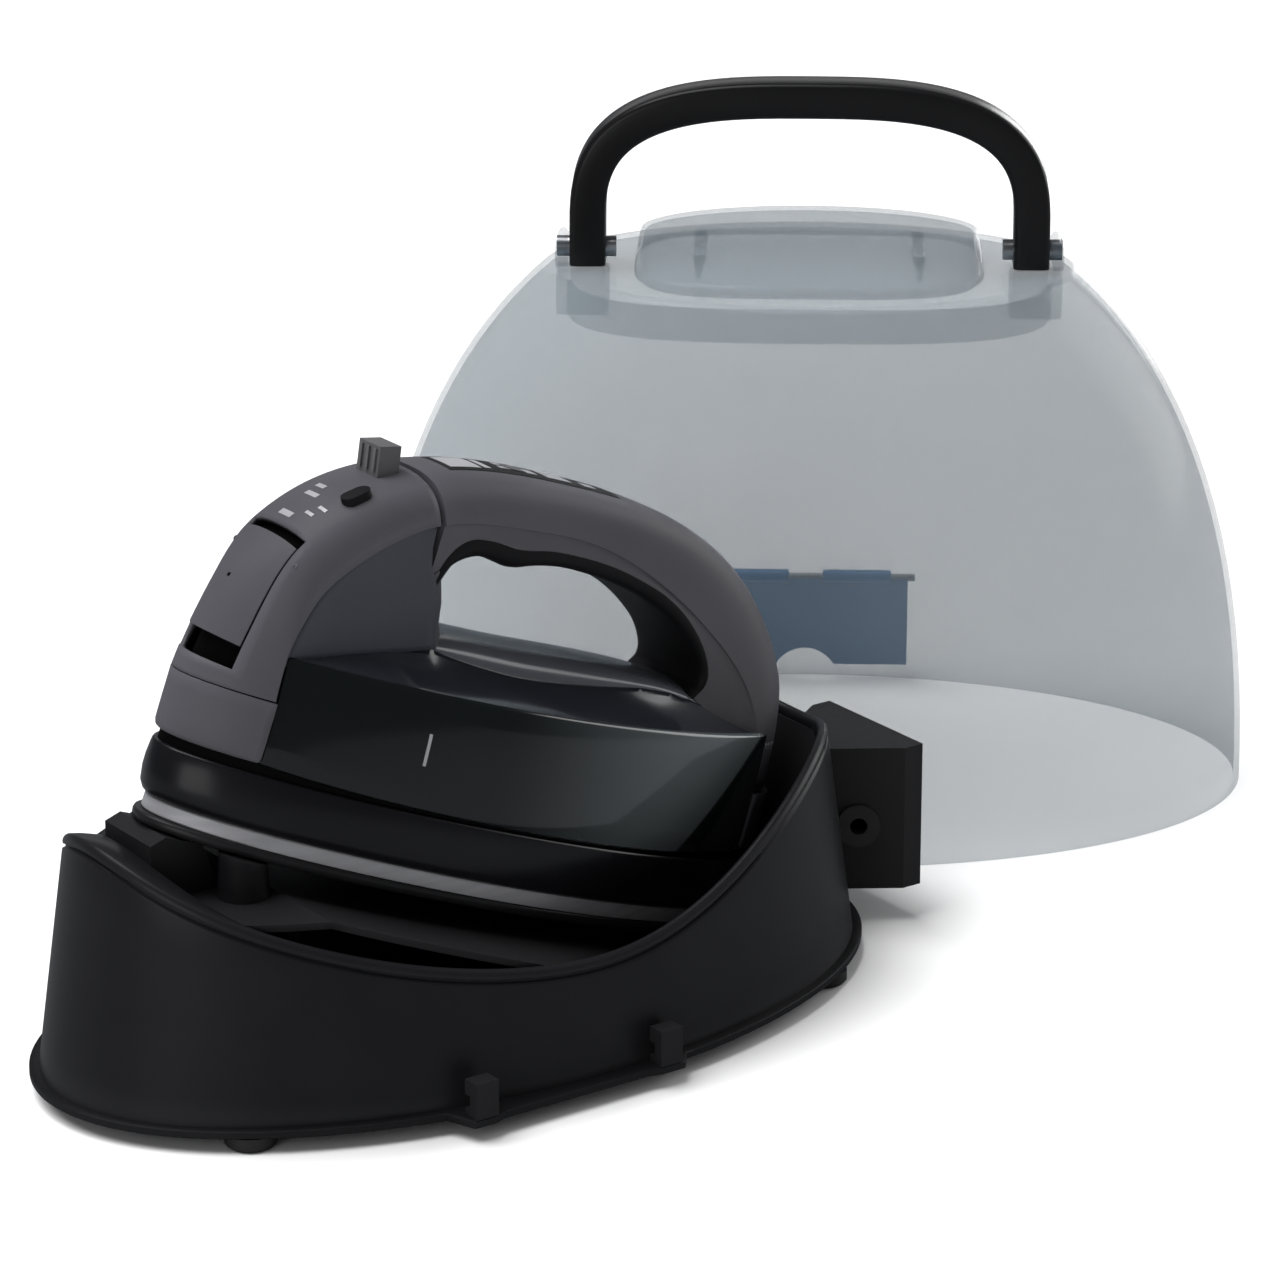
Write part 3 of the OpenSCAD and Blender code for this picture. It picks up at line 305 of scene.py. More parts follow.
def spline(xs, ys, x):
    """Smooth curve through points; xs may fall or rise."""
    xs, ys, x = np.asarray(xs, float), np.asarray(ys, float), np.asarray(x, float)
    if xs[0] > xs[-1]:
        xs, ys = xs[::-1], ys[::-1]
    m = np.gradient(ys, xs)
    x = np.clip(x, xs[0], xs[-1])
    i = np.clip(np.searchsorted(xs, x) - 1, 0, len(xs) - 2)
    h = xs[i + 1] - xs[i]
    t = (x - xs[i]) / h
    return ((2 * t**3 - 3 * t**2 + 1) * ys[i] + (t**3 - 2 * t**2 + t) * h * m[i]
            + (-2 * t**3 + 3 * t**2) * ys[i + 1] + (t**3 - t**2) * h * m[i + 1])


# ---------------------------------------------------------------- heating base
WA, WB = 161.5, 91.5


def rim_z(u):
    lo = 49 + 41 * np.abs(u) ** 1.75 + 7 * np.abs(u) ** 12
    hi = 49 + 44 * (1 - np.cos(np.radians(162 * u))) / 2 - 11 * np.abs(u) ** 14
    return np.where(u < 0, lo, hi)


def base_ring(w, z, n=224):
    t = np.linspace(0, 2 * math.pi, n, endpoint=False)
    ln = 12 * (z - 8) / 82
    return np.stack([(WA - w - ln) * np.cos(t), (WB - w - ln * 0.7) * np.sin(t), z], -1)


t_base = np.linspace(0, 2 * math.pi, 224, endpoint=False)
rim = rim_z(np.cos(t_base))
lip = np.clip((-np.cos(t_base) - 0.72) / 0.26, 0, 1)
lip = lip * lip * (3 - 2 * lip)
rings = [base_ring(0.0 + 0 * rim, 8 + (rim - 5.6 - 8) * f) for f in np.linspace(0, 1, 9)]
for w, dz in ((0.1, 4.9), (1.1, 4.5), (1.1, 3.9), (0.1, 3.4), (-0.2, 2.4), (0.0, 1.2), (0.7, 0.35), (1.6,
    0.0)):
    rings.append(base_ring(w + 0 * rim, rim - dz))
for w, dz, lw, ld in ((2.5, 0.25, 3, 0.2), (3.3, 0.9, 8, 0.9), (3.8, 2.0, 12, 3.2), (4.0, 4.0, 15, 8.0)):
    rings.append(base_ring(w + lw * lip, rim - dz - ld * lip))
for f in (0.7, 0.35, 0.0):
    rings.append(base_ring(3.4 + 9 * lip * f, 12 + (rim - 8 * lip - 5 - 12) * f))
rings.append(base_ring(3.0 + 0 * rim, 8 + 0 * rim))
v, f = loft(rings, closed=True)
piece("base_wall", base(v), f, M["base_black"], "base", ["base_shell"], angle=60)

# flange and bottom plate, with the bumps for the clips
n = 224
prof = [(0.6, 5.0), (0.0, 5.5), (0.0, 7.6), (0.5, 8.0), (4.5, 8.0), (5.2, 12.0), (6.2, 12.0), (7.0, 8.0),
        (40, 8.0)]
rings = []
for w, z in prof:
    r = oval(165 - w, 95 - w, 2, z, n)
    if w < 2:
        for c in (-54, 22):
            m_ = (np.abs(r[:, 0] - c) < 6.5) & (r[:, 1] < 0)
            r[m_, 1] = np.minimum(r[m_, 1], -99 + w)
        m_ = (r[:, 0] > -58) & (r[:, 0] < 27) & (r[:, 1] < 0)
        r[m_, 1] = np.minimum(r[m_, 1], -97.5 + w)
    rings.append(r)
rings.append(oval(125, 55, 2, 5.0, n))
v, f = loft(rings, closed=True)
v2, f2 = loft([oval(126, 56, 2, 5.0, n), oval(126, 56, 2, 8.0, n)])
f = list(f) + [tuple(i + len(v) for i in q) for q in f2]
piece("base_floor", base(np.concatenate([v, v2])), f, M["base_dark"], "base",
      ["bottom_plate"], angle=40)


# ---------------------------------------------------------------- the iron's arch
def outer(th):
    t = np.radians(th)
    return -1 + 129 * spow(np.cos(t), 2 / 2.6), 28 + 113 * spow(np.sin(t), 2 / 2.6)


CR = np.array([(176, -107.0, 46), (173.2, -107.2, 50), (165, -106.9, 64), (155, -104, 77), (145, -98.5,
    89.5),
               (135, -88, 101.3), (125, -75, 111.3), (115, -60.6, 118.5), (108, -48, 121.4), (100, -33,
                   123),
               (92, -17, 123.8), (84, 0, 124.2), (77, 14, 123), (70, 28, 120), (63, 41, 115.8), (56, 54,
                   110.5),
               (48, 67.5, 103.6), (40, 80, 96), (32, 90, 87.8), (24, 97, 79), (16, 101.5, 69), (6.8, 104,
                   52),
               (4, 104.3, 46)])
WID = np.array([(176, 27.8), (165, 26.2), (150, 25), (130, 24.6), (115, 23.2), (104, 21.5), (92, 20.3),
                (75, 20),
                (55, 20), (40, 21.2), (25, 24), (12, 26.6), (4, 27.8)])


def crease(th):
    return spline(CR[:, 0], CR[:, 1], th), spline(CR[:, 0], CR[:, 2], th)


def surf(th, y, off=0.0):
    """Point of the arch's crowned surface at angle th and width y (off outwards)."""
    th, y = np.broadcast_arrays(np.asarray(th, float), np.asarray(y, float))

    def at(a, b):
        ox, oz = outer(a)
        cx, cz = crease(a)
        w = spline(WID[:, 0], WID[:, 1], a)
        e = 2.1 + 0.9 * np.clip(np.sin(np.radians(a)), 0, 1) ** 2
        b1 = np.clip(np.abs(b), 0, w)
        q = 1 - (1 - (b1 / w) ** e) ** (1 / e)
        # towards both ends the crown blends into the plan of the caps
        q2 = (1 - (1 - (b1 / 51.5) ** 1.9) ** (1 / 1.9)) / (1 - (1 - (w / 51.5) ** 1.9) ** (1 / 1.9))
        k = np.clip(np.maximum(a - 142, 30 - a) / 24, 0, 1)
        k = k * k * (3 - 2 * k)
        q = q * (1 - k) + q2 * k
        return np.stack([ox + (cx - ox) * q, b, oz + (cz - oz) * q], -1)

    p = at(th, y)
    if np.any(off):
        yc = np.clip(y, -22, 22)
        du = at(th + 0.4, yc) - at(th - 0.4, yc)
        dv = at(th, yc + 0.3) - at(th, yc - 0.3)
        nn = np.cross(du, dv)
        nn /= np.linalg.norm(nn, axis=-1, keepdims=True)
        out = p - np.array([-1, 0, 28.0])
        nn *= np.sign((nn * out).sum(-1, keepdims=True))
        p = p + nn * off
    return p


def cols(th, split=16.5, m=7):
    """Widths across the arch at th: linear to split, then rolling over to the crease."""
    w = float(spline(WID[:, 0], WID[:, 1], th))
    e = 2.1 + 0.9 * max(0.0, math.sin(math.radians(th))) ** 2
    f0 = math.asin(min(1.0, (split / w) ** (e / 2)))
    side = [w * math.sin(a) ** (2 / e) for a in np.linspace(f0, math.pi / 2, m)]
    mid = list(np.linspace(0, split, 4))
    half = mid + side[1:]
    return np.array([-h for h in half[::-1]] + half[1:])


def slab(name, th0, th1, y0, y1, off, thick, mat, body, reps=(), n=10, m=6, bevel=0.0):
    th = np.linspace(th0, th1, n)[:, None]
    y = np.linspace(y0, y1, m)[None, :]
    a, b = surf(th, y, off), surf(th, y, off - thick)
    loop = lambda g: np.concatenate([g[0, :-1], g[:-1, -1], g[-1, :0:-1], g[:0:-1, 0]])
    va = np.concatenate([a.reshape(-1, 3), b.reshape(-1, 3)])
    k = n * m
    f = sheet_faces(n, m) + [tuple(i + k for i in q[::-1]) for q in sheet_faces(n, m)]
    idx = np.arange(k).reshape(n, m)
    ring = loop(idx[..., None])[:, 0]
    for p, q in zip(ring, np.roll(ring, -1)):
        f.append((p, q, q + k, p + k))
    return piece(name, iron(va), f, mat, body, reps, bevel, angle=50)


# front spine: a shell with an opening for the filler door
TH_R0, TH_D0, TH_D1, TH_R1 = 170.3, 166.3, 144.6, 142.2
front_th = sorted(set([173.3] + list(np.linspace(172.8, TH_R0, 3)) + [TH_D0, TH_D1, TH_R1]
                      + list(np.linspace(TH_D0, TH_D1, 26)) + list(np.linspace(TH_R1, 114.2, 26))),
                      reverse=True)
P = np.array([surf(a, cols(a)) for a in front_th])
nu, nv = P.shape[:2]
faces = []
for q, (i, j) in zip(sheet_faces(nu, nv), [(i, j) for i in range(nu - 1) for j in range(nv - 1)]):
    ta = (front_th[i] + front_th[i + 1]) / 2
    inside = 6 <= j < nv - 7 and TH_R1 < ta < TH_R0
    if not inside:
        faces.append(q)
piece("spine_front", iron(P.reshape(-1, 3)), faces, M["spine_grey"], "iron", ["front_spine"],
      angle=45, thick=2.2)
slab("filler_lid", TH_D0, TH_D1, -16, 16, 0.0, 2.0, M["spine_grey"], "filler_door",
     ["filler_door"],
     n=30, m=13, bevel=0.3)
slab("door_recess", TH_R0 + 0.6, TH_D0 - 1.5, -17.5, 17.5, -5, 1.5, SEAM, "iron")
slab("door_slit", TH_D1 + 1.5, TH_R1 - 0.6, -17.5, 17.5, -4, 1.5, SEAM, "iron")

# side panels, set in from the crease
seam_x = [(-46.3, 77), (-48.7, 85), (-50, 93), (-53.5, 99), (-57.8, 105), (-59.6, 111), (-60.4, 118.3)]
for s, nm in ((-1, "side_panel_right"), (1, "side_panel_left")):
    k = 26
    tt = np.linspace(0, 1, k)
    lth = np.linspace(166.5, 115, k)
    lx, lz = crease(lth)
    rz = np.interp(tt, np.linspace(0, 1, 7), [p[1] for p in seam_x])
    rx = np.interp(tt, np.linspace(0, 1, 7), [p[0] for p in seam_x])
    w = spline(WID[:, 0], WID[:, 1], lth)
    u = np.linspace(0, 1, 16)[None, :]
    X = lx[:, None] * (1 - u) + rx[:, None] * u
    Z = lz[:, None] * (1 - u) + rz[:, None] * u
    Y = s * ((w[:, None] - 0.9) * (1 - u) + 22.6 * u - 2.2 * np.sin(math.pi * u) * (1 - tt[:, None]))
    G = np.stack([X, Y, Z], -1)
    # the side panels carry the painted shade of panel_grey
    piece("cheek_" + ("r" if s < 0 else "l"), iron(G.reshape(-1, 3)), sheet_faces(k, 16), M["panel_grey"],
          "iron",
          [nm], thick=1.6)

# handle: crowned top, side faces down to the grip lining
IN = np.array([(113, -55.5, 100.5), (108, -51.8, 104.5), (104, -48.8, 111.3), (100, -42.5, 115.8), (95,
    -31.8, 117.1),
               (90, -22, 116.1), (84, -6, 118.1), (77, 11, 118), (70, 25, 116.4), (63, 37, 114), (56, 48.5,
                   110.4),
               (48, 59.5, 104.6), (40, 68, 97.6), (32, 73.8, 90), (24, 75.6, 84.5), (16, 73, 80), (11, 70,
                   78)])
rear_th = list(np.linspace(112.9, 60, 22)) + list(np.linspace(57, 12, 20))


def side_in(th):
    return spline(IN[:, 0], IN[:, 1], th), spline(IN[:, 0], IN[:, 2], th)


rings = []
for a in rear_th:
    top = surf(a, cols(a, 12, 8))
    w = top[-1, 1]
    cx, cz = top[-1, 0], top[-1, 2]
    ix, iz = side_in(a)
    side = []
    for t in (0.04, 0.3, 0.6, 0.85, 1.0):
        yy = w - 0.8 + (20 - w + 0.8) * t if t > 0.05 else w - 0.8
        side.append((cx + (ix - cx) * t, yy, cz + (iz - cz) * t))
    side = np.array(side)
    left = side * np.array([1, -1, 1])
    mid = np.array([(ix, y, iz) for y in (12, 0, -12)])
    rings.append(np.concatenate([top, side, mid, left[::-1]]))
v, f = loft(rings)
piece("handle_body", iron(v), f, M["spine_grey"], "iron", ["handle_shell"], angle=40)
# rear band below the deck line
rear2 = list(np.linspace(15, 6.5, 6))
P = np.array([surf(a, cols(a)) for a in rear2])
piece("spine_rear", iron(P.reshape(-1, 3)), sheet_faces(*P.shape[:2]), M["spine_grey"], "iron",
      angle=45,
      thick=2.2)
leg = [(-55.3, 100.8), (-52.4, 104), (-50.2, 100), (-47.5, 93), (-46.2, 86), (-44, 82), (-44, 74), (-46,
    74),
       (-48.2, 85), (-49.5, 93), (-53, 99)]
v, f = prism(leg, -20.4, 20.4)
piece("handle_leg", iron(v), f, M["spine_grey"], "iron", bevel=0.5)

# soft grip lining round the hand hole
HOLE = np.array([(-52, -50.2, 98), (-40, -48.5, 101.5), (-30, -46, 105.5), (-20, -41, 108.8), (-10, -34.9,
    110.5),
                 (0, -28, 109.8), (8, -21.2, 108.9), (16, -14, 110.8), (26, -4, 112.5), (38, 10, 112.6),
                 (52, 28, 110.6),
                 (64, 43, 107), (74, 56, 101.5), (82, 66, 95), (90, 71.5, 88.5), (98, 72.6, 83.5), (106,
                     69, 79)])
LIN = np.array([(-52, -53, 99), (-40, -51.9, 104.5), (-30, -49.5, 110.5), (-20, -43, 115.8), (-10, -34,
    117),
                (0, -25, 116.1), (8, -17, 116.6), (16, -8, 118), (26, 6, 118.2), (38, 20, 117.2), (52, 35,
                    114.4),
                (64, 48.5, 110.4), (74, 60, 104.2), (82, 69, 96.6), (90, 74.6, 88.8), (98, 75.4, 83), (106,
                    72, 77.5)])
rings = []
for k in np.linspace(-52, 106, 60):
    hx, hz = spline(HOLE[:, 0], HOLE[:, 1], k), spline(HOLE[:, 0], HOLE[:, 2], k)
    lx, lz = spline(LIN[:, 0], LIN[:, 1], k), spline(LIN[:, 0], LIN[:, 2], k)
    sec = []
    for t, y in ((1.03, 19.4), (1.0, 20.3), (0.7, 20.7), (0.35, 20.2), (0.1, 18.2), (0.0, 15), (0.0, 7)):
        sec.append((hx + (lx - hx) * t, y, hz + (lz - hz) * t))
    sec += [(x, -y, z) for x, y, z in sec[::-1]]
    rings.append(sec)
v, f = loft(rings)
piece("grip_sleeve", iron(v), f, M["grip_black"], "iron", ["grip_lining"], angle=50)

# ---------------------------------------------------------------- iron: tank, deck, skirt, sole
def plan_y(a, b, e, x):
    return b * np.maximum(0, 1 - (np.abs(x) / a) ** e) ** (1 / e)


zr_pts = [(-106, 65.3), (-60, 65.6), (0, 66.6), (52, 68.4), (99, 70.6), (106, 71)]
zg_pts = [(-106, 66.3), (-80, 70.7), (-60, 74.8), (-48, 76.6), (-38, 75.6), (-24, 74.2), (-6, 73.4), (12,
    74.2),
          (30, 75.8), (44, 77.4), (56, 78.2), (70, 77), (86, 74.2), (100, 72), (106, 71.5)]


def tank_b(z):
    return 51.5 - 5.5 * np.clip((z - 27.5) / 43, 0, 1) ** 2


m = 90
sx = np.concatenate([np.linspace(-106, 106, m), np.linspace(106, -106, m)])
side = np.concatenate([-np.ones(m), np.ones(m)])
zr = spline(*zip(*zr_pts), sx)
rings = []
for fz, w in ((0, 0.6), (0.02, 0), (0.2, 0), (0.4, 0), (0.6, 0), (0.8, 0), (0.975, 0), (0.99, 0.25), (1.0,
    0.9), (1.0, 2.0),
              (0.9, 2.4), (0.1, 2.4)):
    zb = 25.6 + 2.3 * (np.abs(sx) / 106) ** 3
    z = zb + (zr - zb) * fz
    rings.append(np.stack([sx * (1 - w / 130), side * np.maximum(1, plan_y(129, tank_b(z), 1.9, sx) - w),
                           z], -1))
v, f = loft(rings, caps=False)
piece("tank_window", iron(v), f, M["tank_smoke"], "iron", ["tank_shell"], angle=50, thick=0.4)

gx = np.linspace(-106, 106, 120)
gv = np.linspace(-1, 1, 61)
zr1 = spline(*zip(*zr_pts), gx) - 0.5
zg1 = spline(*zip(*zg_pts), gx)
hb = plan_y(129, 46, 1.9, gx) - 1.4
Y = hb[:, None] * gv[None, :]
flat = 20.5
t = np.clip((hb[:, None] - np.abs(Y)) / np.maximum(3, hb[:, None] - flat), 0, 1)
S = 0.35 * t + 0.65 * t ** 2.2
Z = zr1[:, None] + (zg1 - zr1)[:, None] * S
G = np.stack([np.repeat(gx[:, None], 61, 1), Y, Z], -1)
piece("deck_saddle", iron(G.reshape(-1, 3)), sheet_faces(120, 61), M["deck_blue"], "iron",
      ["tank_deck"],
      thick=2.0)


# lower bar of the hand hole
xs = np.linspace(-49, 80, 50)
zt = spline([-49, -44, 0, 40, 60, 80], [80.5, 81.2, 82.2, 82.6, 82, 80], xs)
zl = spline(*zip(*zg_pts), xs) - 1.0
rings = []
for x, a, b in zip(xs, zt, zl):
    sec = [(20.6 * math.cos(q), b + (a - b) * math.sin(q) ** 0.85) for q in np.linspace(0, math.pi / 2, 12)]
    sec += [(-y, z) for y, z in sec[-2::-1]]
    rings.append([(x, y, z) for y, z in sec])
v, f = loft(rings)
piece("hole_sill", iron(v), f, SILL, "iron", angle=40)


def tube(name, prof, e, mat, body, reps=(), n=200, angle=50):
    v, f = loft([oval(a, b, e, z, n) for a, b, z in prof], closed=True)
    return piece(name, iron(v), f, mat, body, reps, angle=angle)


tube("skirt_band", [(124.4, 50.1, 5.6), (126.6, 51.0, 6.6), (128.2, 51.6, 9), (129, 52, 14), (129, 52, 18),
                    (128.4, 51.6, 23.4), (127.9, 51.2, 24.3), (126.9, 50.4, 24.6), (124, 48, 24.4), (123,
                        47, 10),
                    (121, 46.5, 5.6)], 1.9, M["skirt_gloss"], "iron", ["skirt"])
tube("joint_band", [(126.4, 49.6, 23.6), (126.4, 49.6, 29), (120, 44, 29), (120, 44, 23.6)], 1.9, SEAM,
     "iron")
tube("silver_strip", [(124.6, 50.0, 0.3), (125, 50.2, 0.8), (124.8, 50.1, 5.0), (124.3, 49.8, 5.5), (121,
    47, 5.5),
                      (121, 47, 0.3)], 1.9, M["trim_silver"], "iron", ["sole_trim"],
                      angle=28)
v, f = loft([oval(a, b, 1.9, z, 200) for a, b, z in ((124, 46.5, -4), (126.6, 48.6, -3.8),
                                                     (127.8, 49.7, -3),
                                                     (128, 50, -1.2), (127.6, 49.7, -0.2), (126.5, 49,
                                                         0.1))])
piece("sole_edge", iron(v), f, M["sole_dark"], "iron", ["soleplate"], angle=60)


def tip(z, w=0.0, s=-1, n=40, cut=106.6):
    a, b = 129 - w, 51.5 - w
    sn = math.acos((cut / a) ** (1.9 / 2))
    t = np.linspace(math.pi - sn, math.pi + sn, n)
    p = np.stack([a * spow(np.cos(t), 2 / 1.9), b * spow(np.sin(t), 2 / 1.9), np.full(n, float(z))], -1)
    if s > 0:
        p[:, 0] *= -1
    return p


for s, nm in ((-1, "nose_cover"), (1, "tail_cover")):
    P = np.array([tip(z, w - 0.4, s) for z, w in ((28.2, 3.2), (28.2, 1.6), (28.8, 0.6), (30.2, 0.1),
                                                  (35, 0), (40, 0),
                                                   (45, 0), (49.0, 0.0), (49.35, 0.4))])
    piece(nm.replace("_cover", "_cap"), iron(P.reshape(-1, 3)), sheet_faces(*P.shape[:2]), M["spine_grey"],
          "iron",
          [nm], angle=60, thick=2.0)

# ---------------------------------------------------------------- iron: small parts
def block(name, fr, x0, x1, y0, y1, z0, z1, mat, body, slot, reps=(), bevel=0.6):
    v, f = loft([[(x0, y0, z), (x1, y0, z), (x1, y1, z), (x0, y1, z)] for z in (z0, z1)])
    return piece(name, fr(v), f, mat, body, reps, bevel)


slab("panel_face", 107.5, 83.5, -9, 9, 0.15, 1.2, M["base_dark"], "iron", ["control_panel"],
     n=16, bevel=0.2)
for k, (a, b, y0, y1) in enumerate(((106.6, 101.2, -6.5, 6.5), (100.4, 99.4, -6, 5), (97.2, 95.6, -3.5,
    -0.5),
                                    (97.0, 95.8, 1.5, 4.5), (93.6, 92.4, -5, 1), (91.2, 89.4, -5.5, 4),
                                    (88, 86.6, -6, -1))):
    slab("panel_mark_%d" % k, a, b, y0, y1, 0.3, 0.4, MARK, "iron", n=4, m=4)
for k, (a, b, y0, y1) in enumerate(((140.2, 138.8, -3, 4), (137.6, 136.8, -10, -6), (135.2, 134.4, -12, -8),
                                    (133.4, 132.2, -2, 5), (130.5, 129.4, 1, 6))):
    slab("legend_mark_%d" % k, a, b, y0, y1, 0.12, 0.3, MARK, "iron", n=4, m=4)
slab("door_dot", 156.2, 155.5, -0.7, 0.7, 0.05, 0.3, SEAM, "filler_door", n=3, m=3)

zz = np.linspace(41, 52, 8)
P = []
for dx in (-0.55, 0.55):
    for w in (-0.12, 0.25):
        P.append([(-54 + dx, -float(plan_y(129, tank_b(z), 1.9, np.array(-54.0 + dx))) + w, z) for z in zz])
P = np.array([P[0], P[2], P[3], P[1]]).transpose(1, 0, 2)
v, f = loft(P)
piece("level_mark", iron(v), f, MARK, "iron")


# ---------------------------------------------------------------- carrying cover
def dome_k(z):
    return (1 - (z / 240) ** 2.3) ** (1 / 2.3)


zs = 205 * np.sin(np.linspace(0, math.pi / 2, 26))
rings = [oval(172 * dome_k(z), 109 * dome_k(z), 2, z, 160) for z in zs]
k = dome_k(205.0)
rings += [oval(172 * k - 1, 109 * k - 1, 2, 205.6, 160), oval(172 * k - 5, 109 * k - 5, 2, 205.9, 160),
          oval(60, 36, 2, 205.9, 160), oval(3, 2, 2, 205.9, 160)]
v, f = loft(rings, caps=False)
f = list(f) + [tuple((len(rings) - 1) * 160 + i for i in range(160))]
piece("cover_dome", cover(v), f, M["smoke_cover"], "cover", ["cover_shell"], angle=40,
      thick=2.2)

rings = []
for a, b, cy, z, cr in ((67, 46, 0, 206.0, 0), (66.6, 43, 2, 209, 0.6), (66, 34, 8, 214.5, 2.5), (65.2, 25,
    14, 218.4, 4),
                        (63.5, 22.5, 14, 219.4, 4.4), (40, 12, 14, 219.4, 1.7), (4, 2, 14, 219.4, 0)):
    r = oval(a, b, 3.6, z, 96, 0, cy)
    r[:, 2] -= cr * (r[:, 0] / 66) ** 2
    rings.append(r)
v, f = loft(rings, caps=False)
f = list(f) + [tuple((len(rings) - 1) * 96 + i for i in range(96))]
piece("cover_top_cap", cover(v), f, M["smoke_cover"], "cover", ["cover_cap"], angle=50,
      thick=1.8)

# near wall of the recess in the cover's top, the ribs and the guides of the handle
t = np.linspace(math.radians(188), math.radians(352), 60)
uu = np.stack([93 * spow(np.cos(t), 2 / 3.2), 57 * spow(np.sin(t), 2 / 3.2)], -1)
u2 = uu * (1 - 2.0 / np.linalg.norm(uu, axis=1, keepdims=True))
loop = np.concatenate([uu, u2[::-1]])
v, f = loft([np.column_stack([loop, np.full(len(loop), z)]) for z in (190.5, 203.4)])
piece("recess_wall", cover(v), f, SMOKE2, "cover", angle=50)
for s in (-1, 1):
    nm = "r" if s > 0 else "l"
    block("guide_" + nm, cover, *sorted((s * 77, s * 97)), -9, 9, 187, 203.4, SMOKE2, "cover",
          "smoke_cover", bevel=1.0)
    v, f = prism([(s * 92.6, 206), (s * 97.4, 206), (s * 97.4, 214), (s * 96, 217.6), (s * 94, 218),
                  (s * 92.6, 216)], -8, 8)
    piece("ear_" + nm, cover(v), f, SMOKE2, "cover", ["handle_sockets"] if s > 0 else (),
          bevel=0.8)
    v, f = prism([(s * 39, 216.3), (s * 44, 216.0), (s * 43, 207), (s * 41.5, 206.2)], -26, 12)
    piece("cap_rib_" + nm, cover(v), f, SMOKE2, "cover", bevel=0.6)

# carry handle: flat strip on a rounded path
t = np.linspace(0, math.pi, 61)
pz = 212.4
path = [(85 + 0 * k, 0, pz + z) for k, z in enumerate((-5, 0, 6))]
arc = np.stack([85 * spow(np.cos(t), 2 / 3), 0 * t, pz + 8 + 51 * spow(np.sin(t), 2 / 3)], -1)
path = np.array([(85, 0, pz - 6), (85, 0, pz)] + list(arc) + [(-85, 0, pz), (-85, 0, pz - 6)], float)
tan = np.gradient(path, axis=0)
tan /= np.linalg.norm(tan, axis=1, keepdims=True)
nrm = np.stack([tan[:, 2], 0 * tan[:, 0], -tan[:, 0]], -1)
sec = []
for cx, cy, a0 in ((4.6, 6.0, 0), (-4.6, 6.0, 90), (-4.6, -6.0, 180), (4.6, -6.0, 270)):
    for a in (0, 30, 60, 90):
        r = math.radians(a0 + a)
        sec.append((cx + 2.3 * math.cos(r), cy + 2.3 * math.sin(r)))
rings = [p + np.array([q[0] * nn + np.array([0, q[1], 0]) for q in sec]) for p, nn in zip(path, nrm)]
v, f = loft(rings)
piece("carry_strip", cover(v), f, M["handle_black"], "carry_handle", ["carry_handle"],
      angle=50)

# ---------------------------------------------------------------- stage, lights, camera
floor_mat = plastic("floor", (0.9, 0.9, 0.9), 0.9, 0.1, 40, 0.0, 0.004)
fnt = floor_mat.node_tree                      # gloss sees the floor as a dim card
path = fnt.nodes.new("ShaderNodeLightPath")
dim = fnt.nodes.new("ShaderNodeBsdfDiffuse")
dim.inputs["Color"].default_value = (0.16, 0.165, 0.175, 1)
fmix = fnt.nodes.new("ShaderNodeMixShader")
fnt.links.new(path.outputs["Is Glossy Ray"], fmix.inputs["Fac"])
fnt.links.new(fnt.nodes["Principled BSDF"].outputs["BSDF"], fmix.inputs[1])
fnt.links.new(dim.outputs["BSDF"], fmix.inputs[2])
fnt.links.new(fmix.outputs["Shader"], fnt.nodes["Material Output"].inputs["Surface"])
bpy.ops.mesh.primitive_plane_add(size=30, location=(0, 0, -0.0002))
floor = bpy.context.object
floor.name = "floor"
floor.data.materials.append(floor_mat)

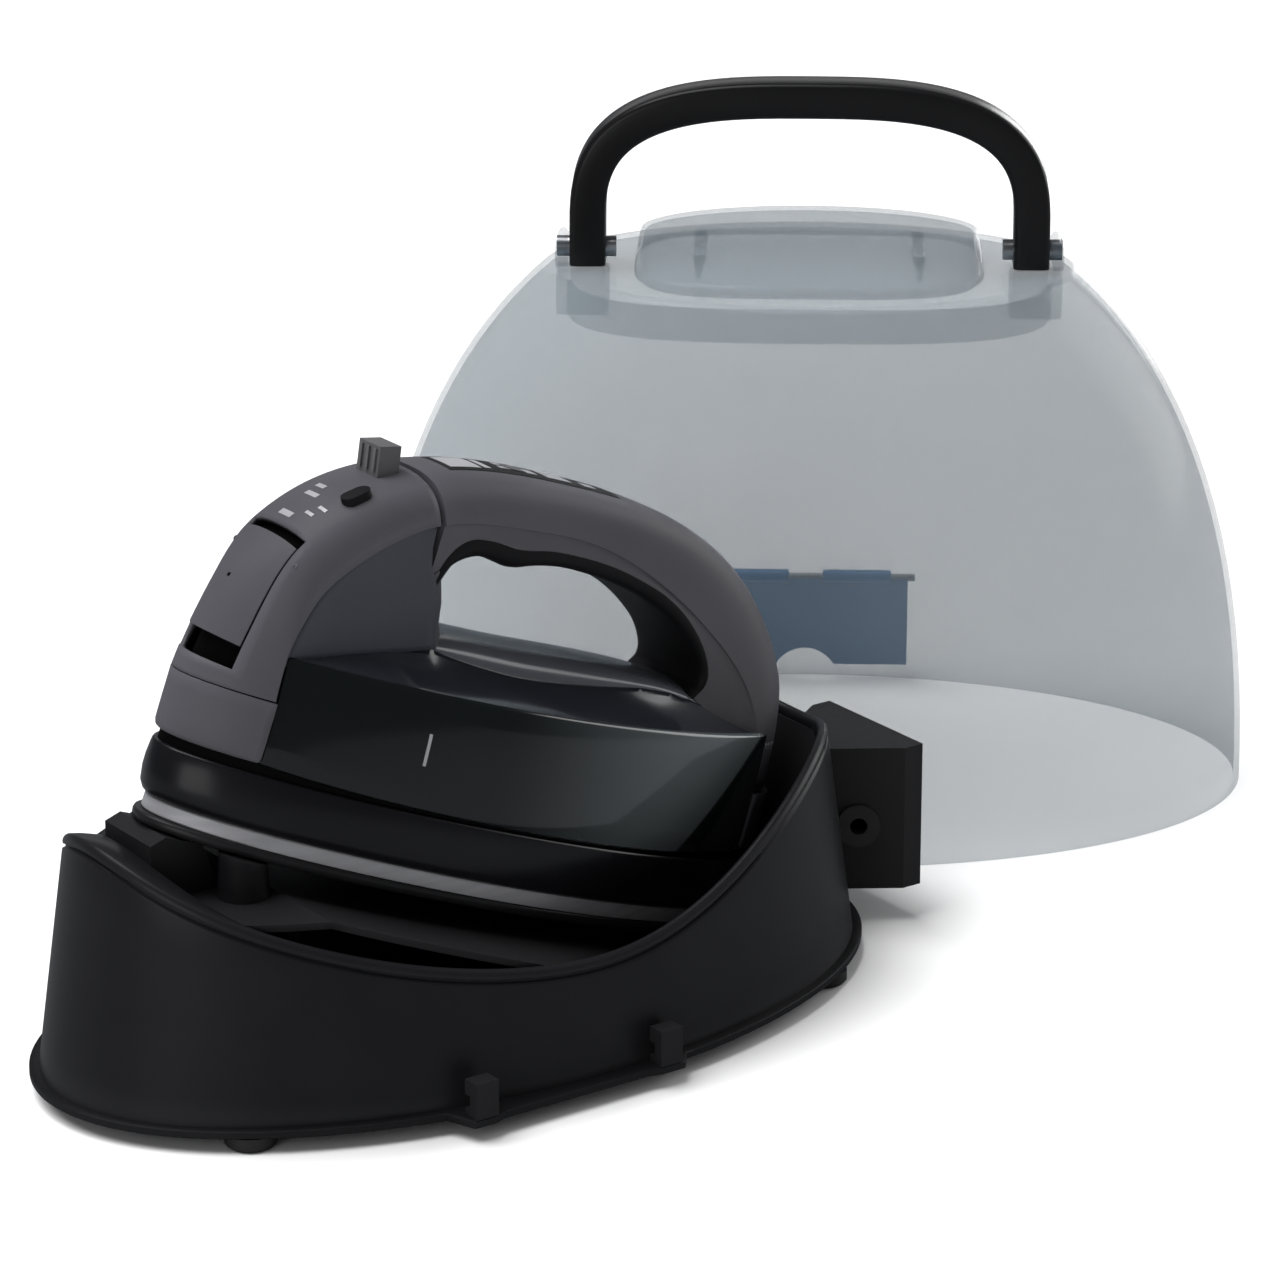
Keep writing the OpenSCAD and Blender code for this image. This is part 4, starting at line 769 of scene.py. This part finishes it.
world = bpy.data.worlds.new("studio")
bpy.context.scene.world = world
world.use_nodes = True
nt = world.node_tree
bg = nt.nodes["Background"]
bg.inputs["Strength"].default_value = 1.0
lp = nt.nodes.new("ShaderNodeLightPath")
m1 = nt.nodes.new("ShaderNodeMixRGB")
m1.inputs["Color1"].default_value = (0.22, 0.22, 0.225, 1)
m1.inputs["Color2"].default_value = (0.06, 0.062, 0.068, 1)
m2 = nt.nodes.new("ShaderNodeMixRGB")
m2.inputs["Color2"].default_value = (0.98, 0.98, 0.98, 1)
nt.links.new(lp.outputs["Is Glossy Ray"], m1.inputs["Fac"])
nt.links.new(lp.outputs["Is Camera Ray"], m2.inputs["Fac"])
nt.links.new(m1.outputs["Color"], m2.inputs["Color1"])
nt.links.new(m2.outputs["Color"], bg.inputs["Color"])


def lamp(name, loc, aim, size, power, size_y=None, glossy=True, diffuse=True):
    d = bpy.data.lights.new(name, "AREA")
    d.shape = "RECTANGLE"
    d.size = size
    d.size_y = size_y or size
    d.energy = power
    o = bpy.data.objects.new(name, d)
    bpy.context.scene.collection.objects.link(o)
    o.location = loc
    o.rotation_euler = (Vector(aim) - Vector(loc)).to_track_quat("-Z", "Y").to_euler()
    o.visible_glossy = glossy
    o.visible_diffuse = diffuse
    return o


sun = bpy.data.lights.new("sun", "SUN")
sun.energy = 3.3
sun.angle = math.radians(50)
so = bpy.data.objects.new("sun", sun)
so.rotation_euler = Vector((0.35, -0.3, -1)).to_track_quat("-Z", "Y").to_euler()
so.visible_glossy = False
bpy.context.scene.collection.objects.link(so)
lamp("top", (-0.3, 0.4, 1.9), (0, 0, 0.05), 1.1, 12)
lamp("left", (-1.5, -0.75, 0.45), (-0.15, 0, 0.12), 0.8, 3.2, 0.9)
lamp("right", (1.6, -0.25, 0.65), (-0.1, -0.09, 0.12), 1.1, 9)
lamp("back", (1.25, 1.75, 0.75), (0, 0, 0.05), 1.8, 2, 0.5, diffuse=False)
lamp("edge", (1.3, 0.75, 0.25), (0, -0.05, 0.08), 0.25, 3, 0.6, diffuse=False)

cam = bpy.data.cameras.new("camera")
cam.sensor_width = 36
cam.lens = 153.3
co = bpy.data.objects.new("camera", cam)
co.location = (-1.0881, -1.5506, 0.7597)
look = Vector((0.5802 * math.cos(0.338), 0.8144 * math.cos(0.338), -math.sin(0.338)))
co.rotation_euler = look.to_track_quat("-Z", "Y").to_euler()
bpy.context.scene.collection.objects.link(co)
bpy.context.scene.camera = co
bpy.context.scene.view_settings.view_transform = "Standard"
